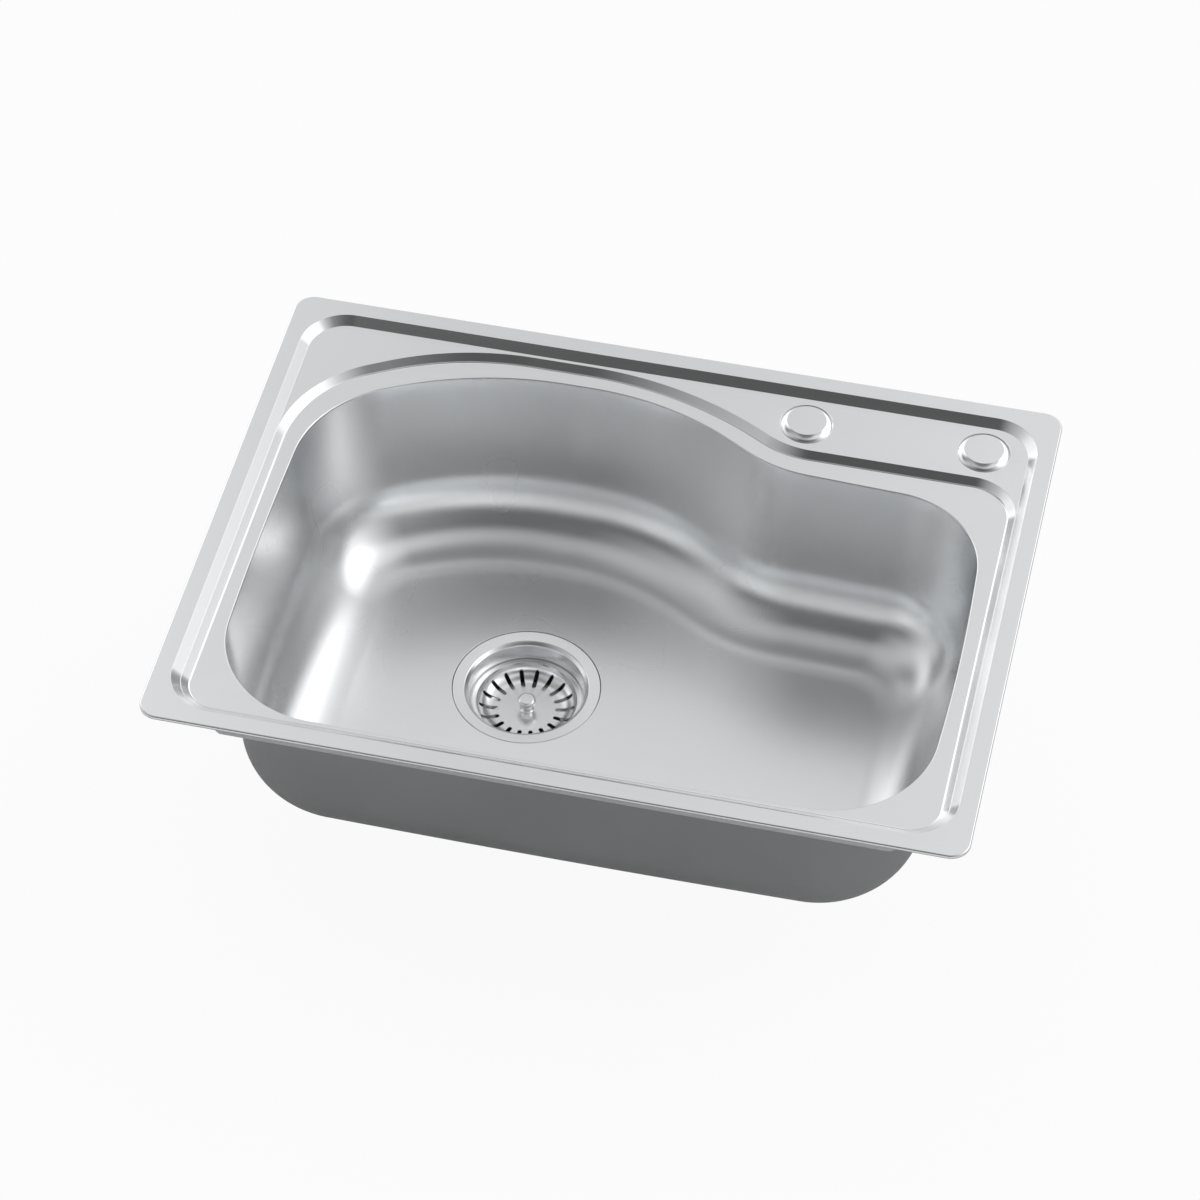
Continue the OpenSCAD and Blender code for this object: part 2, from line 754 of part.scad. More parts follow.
// Gasket between the flange and its recess
module flange_gasket() {
    set_back = 1;
    color(rubber)
        at_drain(recess_h)
            ring(flange_d / 2 - set_back, neck_hole_d / 2, flange_seal_t);
}

// Rubber gasket under the bowl's floor
module outlet_gasket() {
    color(rubber)
        at_drain(friction_top)
            ring(lock_nut_d / 2, neck_hole_d / 2, under_seal_t);
}

// Ring that lets the lock nut slide on its gasket
module friction_ring() {
    set_back = 1;
    color(plastic)
        at_drain(lock_nut_top)
            ring(lock_nut_d / 2 - set_back, neck_hole_d / 2, friction_t);
}

// Large nut that pulls the strainer's flange down, with lugs for its key
module lock_nut() {
    nut_bore_r = neck_d / 2 + fit_gap;
    lug_w = 10;
    lug_out = 3;
    lug_root = 2;
    web_r = lock_nut_d / 2 - lug_out;
    color(dark_steel)
        at_drain(lock_nut_top + lock_nut_h)
            difference() {
                union() {
                    cylinder(r = web_r, h = lock_nut_h);
                    for (i = [0:lock_nut_lugs - 1])
                        rotate([0, 0, 360 * i / lock_nut_lugs])
                            translate([web_r - lug_root, -lug_w / 2, 0])
                                cube([lug_out + lug_root, lug_w, lock_nut_h]);
                }
                translate([0, 0, -cut])
                    cylinder(r = nut_bore_r, h = lock_nut_h + 2 * cut);
            }
}

// One drain slot with round ends, cut along +X
module slot_cut() {
    translate([slot_in_d / 2 + slot_w / 2, -slot_w / 2])
        square([(slot_out_d - slot_in_d) / 2 - slot_w, slot_w]);
    for (r = [slot_in_d / 2 + slot_w / 2, slot_out_d / 2 - slot_w / 2])
        translate([r, 0])
            circle(d = slot_w, $fn = 24);
}

// Pressed strainer basket with a ring of radial slots
module basket() {
    wall_steps = 6;
    r_mouth = basket_mouth_d / 2;
    r_floor = basket_floor_d / 2;
    wide = r_mouth - r_floor;
    inner = [for (q = [0:wall_steps])
        let (a = 90 * q / wall_steps)
        [r_floor + wide * cos(a), -rim_top - basket_h * sin(a)]];
    outer_wide = wide + basket_wall;
    outer_h = basket_h + basket_wall - basket_rim_t;
    slot_rise = basket_h - 3;
    outer = [for (q = [0:wall_steps])
        let (a = 90 - 90 * q / wall_steps)
        [r_floor + outer_wide * cos(a), -rim_top - basket_rim_t - outer_h * sin(a)]];
    color(steel)
        at_drain()
            difference() {
                rotate_extrude()
                    polygon(concat(
                        inner,
                        [[stem_d / 2 + fit_gap, -basket_floor],
                            [stem_d / 2 + fit_gap, -basket_floor - basket_wall]],
                        outer,
                        [[basket_d / 2, -rim_top - basket_rim_t], [basket_d / 2, -rim_top]]
                    ));
                translate([0, 0, -basket_floor - basket_wall - cut])
                    linear_extrude(slot_rise + basket_wall + cut)
                        for (i = [0:slot_count - 1])
                            rotate(90 + 360 * i / slot_count)
                                slot_cut();
            }
}

// Low flared guide that stands on the basket's floor round the stem
module knob_guide() {
    flare_steps = 5;
    r_foot = guide_d / 2;
    r_top = guide_top_d / 2;
    r_bore = stem_d / 2 + stem_fit;
    even = 0.1;
    flare = [for (q = [0:flare_steps])
        let (a = 90 * q / flare_steps)
        [r_foot - (r_foot - r_top) * sin(a),
            guide_h * ((1 - even) * (1 - cos(a)) + even * q / flare_steps)]];
    color(steel)
        at_drain(basket_floor)
            rotate_extrude()
                polygon(concat(
                    [[r_bore, 0]],
                    flare,
                    [[r_bore, guide_h]]
                ));
}

// Spring ring under the basket that grips the stem when the stopper is raised
module grip_ring() {
    ring_wall = 2;
    ring_h = 1.6;
    color(dark_steel)
        at_drain(basket_floor + basket_wall + ring_h)
            ring(stem_d / 2 + stem_fit + ring_wall, stem_d / 2 + stem_fit, ring_h);
}

// Mushroom knob
module knob() {
    r_head = knob_d / 2;
    r_neck = neck_rod_d / 2;
    crown_steps = 5;
    crown_w = 2.2;
    crown_h = 0.6 * knob_h;
    underside_h = 0.8;
    underside_w = 1;
    crown = [for (q = [0:crown_steps])
        let (a = 90 * q / crown_steps)
        [r_head - crown_w * (1 - cos(a)), neck_rod_l + knob_h - crown_h * (1 - sin(a))]];
    socket_r = stem_d / 2 + fit_gap;
    socket_top = neck_rod_l + knob_h / 2;
    color(steel)
        at_drain(knob_base)
            rotate_extrude()
                polygon(concat(
                    [[socket_r, 0], [neck_foot_d / 2, 0], [r_neck, neck_rod_l],
                        [r_head - underside_w, neck_rod_l],
                        [r_head, neck_rod_l + underside_h]],
                    crown,
                    [[0, neck_rod_l + knob_h], [0, socket_top], [socket_r, socket_top]]
                ));
}

// Stem from the knob down through the basket to the stopper
module stem() {
    stem_top = knob_base - neck_rod_l - knob_h / 2;
    color(dark_steel)
        at_drain(stem_end)
            cylinder(d = stem_d, h = stem_end - stem_top);
}

// Steel plate that spreads the stem's pull over the stopper
module stopper_plate() {
    color(steel)
        at_drain(stopper_top)
            ring(plate_d / 2, stem_d / 2 + fit_gap, plate_t);
}

// Rubber stopper that closes the cup's bottom
module stopper_disc() {
    bevel = 1;
    r = stopper_d / 2;
    r_bore = stem_d / 2 + fit_gap;
    color(rubber)
        at_drain(stopper_foot)
            rotate_extrude()
                polygon([
                    [r_bore, 0],
                    [r - bevel, 0],
                    [r, bevel / 2],
                    [r, stopper_t - bevel],
                    [r - bevel, stopper_t],
                    [r_bore, stopper_t]
                ]);
}

// Nut under the stopper
module stem_nut() {
    color(steel)
        at_drain(stopper_foot + stem_nut_h)
            difference() {
                cylinder(d = stem_nut_d, h = stem_nut_h, $fn = 6);
                translate([0, 0, -cut])
                    cylinder(r = stem_d / 2 + fit_gap, h = stem_nut_h + 2 * cut);
            }
}

// Washer between the outlet and the tailpiece's collar
module tail_washer() {
    color(rubber)
        at_drain(collar_top)
            ring(collar_d / 2, outlet_d / 2, tail_seal_t);
}

// Tailpiece that the trap is pushed on
module tailpiece() {
    r_out = tail_d / 2;
    r_in = r_out - tail_wall;
    color(plastic)
        at_drain(collar_top)
            rotate_extrude()
                polygon([
                    [r_in, 0],
                    [collar_d / 2, 0],
                    [collar_d / 2, -collar_t],
                    [r_out + tail_neck_out, -collar_t],
                    [r_out + tail_neck_out, -collar_t - tail_neck_l],
                    [r_out, -collar_t - tail_neck_l],
                    [r_out, -tail_l],
                    [r_in, -tail_l]
                ]);
}

// Coupling nut that holds the tailpiece to the outlet
module coupling_nut() {
    r_out = coupling_d / 2;
    r_thread = spigot_d / 2 + fit_gap;
    r_tail = tail_d / 2 + tail_neck_out + fit_gap;
    top = spigot_end - coupling_hold;
    height = coupling_foot - top;
    grip_out = 1.2;
    grip_root = 2.8;
    grip_w = 7;
    color(plastic)
        at_drain(coupling_foot)
            difference() {
                union() {
                    cylinder(r = r_out - grip_out, h = height);
                    for (i = [0:coupling_grips - 1])
                        rotate([0, 0, 360 * i / coupling_grips])
                            translate([r_out - grip_out - grip_root, -grip_w / 2, 0])
                                cube([grip_out + grip_root, grip_w, height]);
                }
                translate([0, 0, coupling_lip])
                    cylinder(r = r_thread, h = height);
                translate([0, 0, -cut])
                    cylinder(r = r_tail, h = height);
            }
}

// Folded rail welded by its upper edge under the outer step, its lip towards the bowl;
// side is 1 at the back and -1 at the front
module rail(side) {
    out = rim_d / 2 - rail_inset;
    fold_y = rim_d / 2 - step_in + fold1;
    rise = step1_h / step1_w;
    top_out = ledge1_z - sheet + (out - fold_y) * rise;
    top_in = top_out - rail_t * rise;
    color(steel)
        scale([1, side, 1])
            difference() {
                rotate([90, 0, 90])
                    linear_extrude(rail_l, center = true)
                        polygon([
                            [out, rail_z],
                            [out, top_out],
                            [out - rail_t, top_in],
                            [out - rail_t, rail_z + rail_t],
                            [out - rail_lip, rail_z + rail_t],
                            [out - rail_lip, rail_z]
                        ]);
                for (x = [-1, 1])
                    translate([x * rail_l / 2, out, rail_z])
                        rotate([0, 45, 0])
                            cube(
                                [sqrt(2) * rail_chamfer, 3 * rail_lip, sqrt(2) * rail_chamfer],
                                center = true);
            }
}

module front_rail() { rail(-1); }
module back_rail() { rail(1); }

// Z-shaped bracket welded under the ledge; side is 1 at the right and -1 at the left
module bracket(side, y) {
    weld_edge = 1.5;
    weld_gap = 0.5;
    foot_past = 6;
    weld_in = mouth_x + weld_edge;
    weld_out = ledge_x - step2_w - weld_gap;
    foot_out = clip_x + foot_past;
    half = bracket_w / 2;
    translate([0, y, 0])
        scale([side, 1, 1])
            difference() {
                union() {
                    translate([weld_in, -half, weld_z - bracket_t])
                        cube([weld_out - weld_in, bracket_w, bracket_t]);
                    translate([weld_out - bracket_t, -half, foot_z])
                        cube([bracket_t, bracket_w, bracket_h]);
                    translate([weld_out - bracket_t, -half, foot_z])
                        cube([foot_out - weld_out + bracket_t, bracket_w, bracket_t]);
                }
                translate([clip_x, 0, foot_z - cut])
                    cylinder(r = screw_d / 2 + fit_gap, h = bracket_t + 2 * cut);
            }
}

module clip_brackets() {
    color(steel)
        for (side = [-1, 1], y = [-clip_front, clip_back])
            bracket(side, y);
}

// Clip screw, driven up through its bracket from below
module clip_screw(side, y) {
    keeper_t = 1;
    slit_w = 1.2;
    slit_h = 1.2;
    color(dark_steel)
        translate([side * clip_x, y, head_z])
            difference() {
                union() {
                    cylinder(d = screw_d, h = screw_l + screw_top);
                    translate([0, 0, -head_h])
                        cylinder(d = head_d, h = head_h);
                    translate([0, 0, claw_t + 2 * claw_gap])
                        cylinder(d = head_d - keeper_t, h = keeper_t);
                }
                translate([-head_d, -slit_w / 2, -head_h - cut])
                    cube([2 * head_d, slit_w, slit_h + cut]);
            }
}

// Claw folded along the sink's side; way is 1 where it points to the back
module clip_claw(side, y, way) {
    half = claw_w / 2;
    color(steel)
        translate([side * clip_x, y, head_z + claw_gap])
            scale([1, way, 1])
                difference() {
                    union() {
                        cylinder(r = half, h = claw_t);
                        translate([-half, 0, 0])
                            cube([claw_w, claw_back + claw_t, claw_t]);
                        translate([-half, claw_back, 0])
                            cube([claw_w, claw_t, claw_rise]);
                        translate([-half, claw_back, claw_rise - claw_t])
                            cube([claw_w, claw_reach - claw_back, claw_t]);
                    }
                    translate([0, 0, -cut])
                        cylinder(r = screw_d / 2 + fit_gap, h = claw_t + 2 * cut);
                }
}

module clip_screw_left_front() { clip_screw(-1, -clip_front); }
module clip_screw_left_back() { clip_screw(-1, clip_back); }
module clip_screw_right_front() { clip_screw(1, -clip_front); }
module clip_screw_right_back() { clip_screw(1, clip_back); }
module clip_claw_left_front() { clip_claw(-1, -clip_front, 1); }
module clip_claw_left_back() { clip_claw(-1, clip_back, -1); }
module clip_claw_right_front() { clip_claw(1, -clip_front, 1); }
module clip_claw_right_back() { clip_claw(1, clip_back, -1); }

deck();
bowl();
rim_seal();
damping_pad();
tap_cover_cap();
tap_cover_plug();
spare_cover_cap();
spare_cover_plug();
strainer_body();
flange_gasket();
outlet_gasket();
friction_ring();
lock_nut();
basket();
knob_guide();
grip_ring();
knob();
stem();
stopper_plate();
stopper_disc();
stem_nut();
tail_washer();
tailpiece();
coupling_nut();
front_rail();
back_rail();
clip_brackets();
clip_screw_left_front();
clip_screw_left_back();
clip_screw_right_front();
clip_screw_right_back();
clip_claw_left_front();
clip_claw_left_back();
clip_claw_right_front();
clip_claw_right_back();
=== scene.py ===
"""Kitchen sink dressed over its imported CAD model: pressed deck, drawn bowl, waste and fixings."""

import math

import bmesh
import bpy
import numpy as np
from bpy.props import FloatProperty, FloatVectorProperty, IntProperty, PointerProperty
from mathutils import Matrix, Vector
from mathutils.geometry import delaunay_2d_cdt


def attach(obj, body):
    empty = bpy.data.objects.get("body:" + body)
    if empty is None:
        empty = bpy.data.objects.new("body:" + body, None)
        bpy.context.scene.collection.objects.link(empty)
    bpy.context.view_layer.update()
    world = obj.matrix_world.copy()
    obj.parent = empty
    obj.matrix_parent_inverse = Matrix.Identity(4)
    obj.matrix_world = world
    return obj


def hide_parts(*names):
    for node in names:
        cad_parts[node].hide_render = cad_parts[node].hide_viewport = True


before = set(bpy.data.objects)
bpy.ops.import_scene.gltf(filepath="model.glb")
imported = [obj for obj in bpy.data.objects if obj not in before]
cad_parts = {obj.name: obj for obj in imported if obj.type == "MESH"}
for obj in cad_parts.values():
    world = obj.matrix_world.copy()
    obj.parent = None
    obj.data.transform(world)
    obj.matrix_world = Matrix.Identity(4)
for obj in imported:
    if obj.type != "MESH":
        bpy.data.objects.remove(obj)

bl_info = {
    "name": "Kitchen Sink",
    "version": (1, 0, 0),
    "blender": (4, 5, 0),
    "location": "3D View > Sidebar > Sink",
    "description": "Builds a brushed steel inset sink, its waste and its fixings",
    "category": "Add Mesh",
}

# Sizes of pieces are in millimetres, and heights count from the worktop's surface
MM = 0.001
# Thickness of the sheet that the deck and the bowl are pressed from
SHEET = 0.8
# Top of the rim, of the part with the tap holes and of the ledge round the mouth
RIM_Z = 3.0
TAP_Z = -3.0
LEDGE_Z = -8.4
# Underside of the ledge, where the bowl is welded on, and foot of the deck's cut edge there
JOIN_Z = -9.2
MOUTH_FOOT_Z = -9.32
# Foot of the rim's turned-down edge
EDGE_FOOT_Z = 0.3
# Width and drop of both pressed steps, and how far out their folds lie on the underside
STEP_RUN, STEP_DROP, STEP_UNDER = 6.5, 6.0, 0.313
LEDGE_RUN, LEDGE_DROP, LEDGE_UNDER = 5.7, 5.4, 0.348
# Radius of the lower step's foot, in radii of the other folds
WIDE_FOOT = 7
# Centres of the tap holes, their radius and the radius at their rounded edge
TAP_HOLES = ((112.0, 178.0), (250.0, 178.0))
TAP_R, TAP_EDGE_R = 17.5, 17.8

# Slope of the bowl's wall, level of its floor and radius of the fillet between them
DRAFT = math.radians(4)
FLOOR = -162.0
FLOOR_R = 60.0
# Height of the fillet's centre, and its distance in plan from the mouth
ARC_Z = FLOOR + FLOOR_R
FLOOR_RUN = 66.636
# Weld's seam: how far outside the mouth it lies, its foot, and where the free wall starts
SEAM_OUT, SEAM_FOOT_Z, WALL_Z = 0.35, -9.8, -10.1
# Centre of the waste, level of its recess, and underside of the recess and of the floor
DRAIN = np.array([-70.0, 4.0])
RECESS_Z = -165.5
RECESS_UNDER_Z = RECESS_Z - SHEET
FLOOR_UNDER_Z = FLOOR - SHEET

# Hole covers: radius at the foot, at the flat top and of the hollow, height, and the side's reach
CAP_R, CAP_FLAT_R, CAP_HOLLOW_R = 20.5, 15.2, 15.5
CAP_H = 3.9
CAP_SIDE_RUN, CAP_SIDE_RISE = 5.0, 3.15

# Heights from here to the tailpiece count from the bowl's floor. Turned pieces are listed
# anticlockwise as radius, height and corner radius.
WASTE_HOLE_R = 48
STEM_HOLE_R = 3.05
STRAINER = [
    (57.5, -2.5, 0.2), (57.5, -0.3, 0.4), (48.2, -0.95, 2), (45.4, -3.4, 1.6),
    (43.8, -17.7, 0.3), (40.4, -17.7, 0.5), (38.9, -40, 5), (30, -46, 4), (20, -48.5, 1.5),
    (20, -70.5, 0.3), (24, -70.5, 0.5), (24, -50.3, 0.8), (31, -47.8, 4), (41.2, -40.5, 4),
    (42.2, -24, 0.3), (47, -24, 0.4), (47, -2.5, 0.2),
]
# Basket: radius of its rim and of its flat floor, top of the rim, top and underside of the floor
BASKET_R, BASKET_FLAT_R = 43, 26
BASKET_TOP, BASKET_FLOOR, BASKET_UNDER = -16.6, -26.6, -27.4
# Its slots: radii of the centres of their ends, half their width, and heights of the cutter
SLOT_OUT_R, SLOT_IN_R, SLOT_HALF = 35.6, 24.0, 1.7
SLOT_CUT = (-29.0, -19.6)
# Flared guide round the stem, and the spring ring under the basket
GUIDE_R, GUIDE_BORE_R, GUIDE_H = 5.5, 3.08, 1.6
GRIP_RING = [(3.08, -29.0, 0.2), (5.08, -29.0, 0.3), (5.08, -27.4, 0.3), (3.08, -27.4, 0.2)]
# Knob, with heights above its own foot: neck and underside of the head, then the head's sizes
KNOB_NECK = [(3.05, 0, 0), (3.7, 0, 0.2), (4.7, 6.7, 0.3), (6.2, 6.7, 0.4), (7.2, 7.5, 0.4)]
KNOB_R, KNOB_H, KNOB_SOCKET_H = 7.2, 10.7, 8.7
KNOB_FOOT_Z = -24.9
STEM = [(0, -51.7, 0), (3, -51.7, 0.6), (3, -16.2, 0.2), (0, -16.2, 0)]
STOPPER_PLATE = [(3.05, -42.7, 0.1), (10, -42.7, 0.3), (10, -41.7, 0.4), (3.05, -41.7, 0.1)]
STOPPER_DISC = [
    (3.05, -46.7, 0.1), (25, -46.7, 0.4), (26, -46.2, 0.3), (26, -43.7, 0.5), (25, -42.7, 0.5),
    (18, -42.7, 0.4), (17.6, -43.1, 0.3), (16.4, -43.1, 0.3), (16, -42.7, 0.4),
    (3.05, -42.7, 0.1),
]
# Nut under the stopper: radius over its corners, height, and depth of its foot
NUT_CORNER_R, NUT_H, NUT_DEPTH = 5.5, 4, 50.7
# Gaskets and friction ring: node, both radii, foot, top and corner radius
FLAT_RINGS = (
    ("flange_gasket", WASTE_HOLE_R, 56.5, -3.5, -2.5, 0.25),
    ("outlet_gasket", WASTE_HOLE_R, 56, -7.3, -4.3, 0.6),
    ("friction_ring", WASTE_HOLE_R, 55, -8.3, -7.3, 0.2),
    ("tail_washer", 20, 23.4, -72.5, -70.5, 0.4),
)
# Lock nut and coupling nut, with heights above their own feet: profile, one lug or grip as size,
# centre and bevel, and the depth of the foot
LOCK_NUT = [(47.05, 0, 0.4), (53, 0, 0.6), (53, 12, 0.6), (47.05, 12, 0.4)]
LOCK_NUT_LUG = ((5, 10, 12), (53.5, 0, 6), 0.6)
LOCK_NUT_DEPTH = 20.3
COUPLING_NUT = [
    (20.35, 0, 0.3), (27.8, 0, 1.2), (27.8, 18, 0.6), (24.05, 18, 0.4), (24.05, 2.5, 0.2),
    (20.35, 2.5, 0.2),
]
COUPLING_GRIP = ((4, 7, 16.8), (27.0, 0, 9.6), 0.8)
COUPLING_DEPTH = 76.5
TAILPIECE = [
    (18.6, -124.5, 0.4), (20, -124.5, 0.4), (20, -77.5, 0.3), (20.3, -77.2, 0.1),
    (20.3, -74, 0.2), (23.4, -74, 0.3), (23.4, -72.5, 0.3), (18.6, -72.5, 0.3),
]

# Clips: place of each screw, and the screw's head, keeper ring and shank
SCREWS = {
    "left_front": (-285, -120),
    "left_back": (-285, 45),
    "right_front": (285, -120),
    "right_back": (285, 45),
}
SHANK_R = 2.42
CLIP_SCREW = [
    (0, -62, 0), (4.5, -62, 0.5), (4.5, -58, 0.3), (SHANK_R, -58, 0.1), (SHANK_R, -55.6, 0.05),
    (4, -55.6, 0.1), (4, -54.6, 0.1), (SHANK_R, -54.6, 0.05), (SHANK_R, -20.9, 0),
    (2.0, -20.5, 0), (0, -20.5, 0),
]
SCREW_SLIT = ((12, 1.2, 2.4), (0, 0, -62))
# Thread: foot, length and radius of its ridge
THREAD_FOOT_Z, THREAD_L, RIDGE_R = -53.9, 32.6, 0.08

# Corners of each outline: x, y, radius at the mouth, radius at the floor, and steps of the arc.
# Only the bowl has a radius at the floor, because the deck's outlines don't change with height.
RIM = [(x, y, 15, 0, 16) for x, y in ((305, -225), (305, 225), (-305, 225), (-305, -225))]
STEP = [(x, y, 36, 0, 16) for x, y in ((291, -211), (291, 211), (-291, 211), (-291, -211))]
LEDGE = [
    (284.1, -204.1, 29.1, 0, 24),
    (284.1, 150.8, 36.6, 0, 24),
    (101, 150.8, 75, 0, 20),
    (14, 202, 300, 0, 24),
    (-168.6, 202, 226, 0, 24),
    (-284.1, 137.5, 100, 0, 24),
    (-284.1, -204.1, 29.1, 0, 24),
]
MOUTH = [
    (261.5, -193.1, 86, 45, 44),
    (269.1, -35, 1700, 1700, 8),
    (261.5, 123.6, 72, 38, 40),
    (95, 130.6, 110, 170, 24),
    (4, 184.3, 230, 180, 32),
    (-146, 184.3, 275, 225, 36),
    (-264.8, 123, 94, 48, 40),
    (-268.6, -35, 3200, 3200, 8),
    (-264.8, -193.1, 86, 45, 44),
    (0, -196.6, 12000, 12000, 8),
]


def evenly(start, end, steps):
    """Values from start to end in equal steps, with both ends."""
    return [start + (end - start) * q / steps for q in range(steps + 1)]


def outline(corners, off=0.0, grow=0.0, blend=0.0):
    """Points of a rounded outline moved inwards by off. Its corners' radii are blended towards
    those at the floor and then changed by grow."""
    n = len(corners)
    c = np.array([p[:2] for p in corners], float)
    after = np.roll(c, -1, 0) - c
    after /= np.linalg.norm(after, axis=1)[:, None]
    before = np.roll(after, 1, 0)
    turn = np.arctan2(
        before[:, 0] * after[:, 1] - before[:, 1] * after[:, 0], (before * after).sum(1)
    )
    normal = np.c_[-before[:, 1] - after[:, 1], before[:, 0] + after[:, 0]]
    normal /= np.linalg.norm(normal, axis=1)[:, None]
    v = c + off * normal / np.cos(turn / 2)[:, None]
    r = np.array([p[2] + (p[3] - p[2]) * blend for p in corners]) + grow * np.sign(turn)
    t = r * np.tan(np.abs(turn) / 2)
    side = np.linalg.norm(np.roll(v, -1, 0) - v, axis=1)
    room = 0.98 * side / (t + np.roll(t, -1))
    points = []
    for i in range(n):
        k = min(1.0, room[i - 1], room[i])
        s = np.sign(turn[i])
        inward = np.array([-before[i][1], before[i][0]])
        centre = v[i] - before[i] * t[i] * k + inward * s * r[i] * k
        start = math.atan2(-before[i][0] * s, before[i][1] * s)
        for a in evenly(start, start + turn[i], corners[i][4]):
            points.append(centre + r[i] * k * np.array([math.cos(a), math.sin(a)]))
    return np.array(points)


def rim_ring(off):
    return outline(RIM, off, -off)


def step_ring(off):
    return outline(STEP, off, -off)


def ledge_ring(off):
    return outline(LEDGE, off, -off)


def mouth_ring(off):
    return outline(MOUTH, off, 0.0, min(1.0, max(0.0, off / FLOOR_RUN)))


def circle(centre, r, n=96):
    a = np.arange(n) * 2 * math.pi / n
    return np.asarray(centre) + r * np.c_[np.cos(a), np.sin(a)]


def rounded_path(points, steps=5):
    """A path of (x, y, radius) with an arc of this many steps per 45 degrees at inner points."""
    p = [np.array(q[:2], float) for q in points]
    out = [p[0]]
    for i in range(1, len(p) - 1):
        r = points[i][2]
        u = (p[i] - p[i - 1]) / np.linalg.norm(p[i] - p[i - 1])
        w = (p[i + 1] - p[i]) / np.linalg.norm(p[i + 1] - p[i])
        turn = math.atan2(u[0] * w[1] - u[1] * w[0], float(u @ w))
        if not r or abs(turn) < 1e-6:
            out.append(p[i])
            continue
        t = r * math.tan(abs(turn) / 2)
        s = 1 if turn > 0 else -1
        centre = p[i] - u * t + s * r * np.array([-u[1], u[0]])
        first = p[i] - u * t - centre
        n = max(2, int(steps * abs(turn) / (math.pi / 4)))
        for a in evenly(0, turn, n):
            ca, sa = math.cos(a), math.sin(a)
            x, y = ca * first[0] - sa * first[1], sa * first[0] + ca * first[1]
            out.append(centre + np.array([x, y]))
    out.append(p[-1])
    return out


class Shell:
    """A closed surface made of rings of points, strips between them and flat pieces."""

    def __init__(self):
        self.points = []
        self.faces = []

    def ring(self, plan, z):
        start = len(self.points)
        self.points += [(float(x), float(y), float(z)) for x, y in plan]
        return list(range(start, start + len(plan)))

    def strip(self, a, b):
        n = len(a)
        for i in range(n):
            j = (i + 1) % n
            self.faces.append((a[i], a[j], b[j], b[i]))

    def strips(self, rings):
        for a, b in zip(rings, rings[1:]):
            self.strip(a, b)

    def flat(self, outer, inner, up=True):
        """Fills the level area inside the ring outer and outside each ring of inner."""
        ids = list(outer) + [i for hole in inner for i in hole]
        plan = [Vector(self.points[i][:2]) for i in ids]
        edges, loops, at = [], [], 0
        for loop in [outer] + list(inner):
            n = len(loop)
            edges += [(at + i, at + (i + 1) % n) for i in range(n)]
            loops.append(np.array([self.points[i][:2] for i in loop]))
            at += n
        made = delaunay_2d_cdt(plan, edges, [], 1, 1e-6)
        if len(made[0]) != len(plan):
            raise RuntimeError("a level area of the sink could not be filled")
        place = [None] * len(made[0])
        for new, old in enumerate(made[3]):
            place[new] = ids[old[0]]
        for face in made[2]:
            middle = np.mean([self.points[place[i]][:2] for i in face], axis=0)
            if any(inside(middle, loop) for loop in loops[1:]):
                continue
            ring = [place[i] for i in face]
            a, b, c = (np.array(self.points[i][:2]) for i in ring[:3])
            if ((b - a)[0] * (c - a)[1] - (b - a)[1] * (c - a)[0] > 0) != up:
                ring.reverse()
            self.faces.append(tuple(ring))

    def lathe(self, profile, centre=(0.0, 0.0), n=96):
        """Turns a closed profile of (radius, height), listed anticlockwise."""
        rings = []
        for r, z in profile:
            if r < 1e-6:
                rings.append([len(self.points)])
                self.points.append((float(centre[0]), float(centre[1]), float(z)))
            else:
                rings.append(self.ring(circle(centre, r, n), z))
        for a, b in zip(rings, rings[1:] + rings[:1]):
            if len(a) == 1 and len(b) == 1:
                continue
            for i in range(n):
                j = (i + 1) % n
                if len(a) == 1:
                    self.faces.append((a[0], b[j], b[i]))
                elif len(b) == 1:
                    self.faces.append((a[i], a[j], b[0]))
                else:
                    self.faces.append((a[i], a[j], b[j], b[i]))

    def mesh(self, name, sharp=None):
        """The mesh in metres, with its edges sharp above this angle. Without an angle it is
        smooth all over, and each point's normal leans to its largest face."""
        data = bpy.data.meshes.new(name)
        points = np.array(self.points) * MM
        data.from_pydata([tuple(p) for p in points], [], self.faces)
        data.update()
        data.shade_smooth()
        if sharp is None:
            normals = np.zeros_like(points)
            for poly in data.polygons:
                ids = list(poly.vertices)
                normals[ids] += np.array(poly.normal) * poly.area
            length = np.linalg.norm(normals, axis=1)[:, None]
            normals = normals / np.where(length > 0, length, 1)
            data.normals_split_custom_set_from_vertices([tuple(v) for v in normals])
        else:
            data.set_sharp_from_angle(angle=math.radians(sharp))
        return data


def inside(p, loop):
    x, y = p
    a, b = loop, np.roll(loop, -1, 0)
    hit = (a[:, 1] > y) != (b[:, 1] > y)
    with np.errstate(divide="ignore", invalid="ignore"):
        cross = (b[:, 0] - a[:, 0]) * (y - a[:, 1]) / (b[:, 1] - a[:, 1]) + a[:, 0]
    return bool((hit & (x < cross)).sum() % 2)


def rounded_profile(points):
    """A closed profile of (radius, height, corner radius), with an arc at each corner."""
    n = len(points)
    out = []
    for i in range(n):
        out += rounded_path([points[i - 1], points[i], points[(i + 1) % n]])[1:-1]
    return [tuple(p) for p in out]


def placed(name, data):
    """A new object in the scene."""
    obj = bpy.data.objects.new(name, data)
    bpy.context.scene.collection.objects.link(obj)
    return obj


def add(name, data, material, body, replaced):
    """A visible piece that rides on one body and takes the place of CAD nodes."""
    data.materials.clear()
    data.materials.append(material)
    obj = placed(name, data)
    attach(obj, body)
    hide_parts(*replaced)


# Shader maths


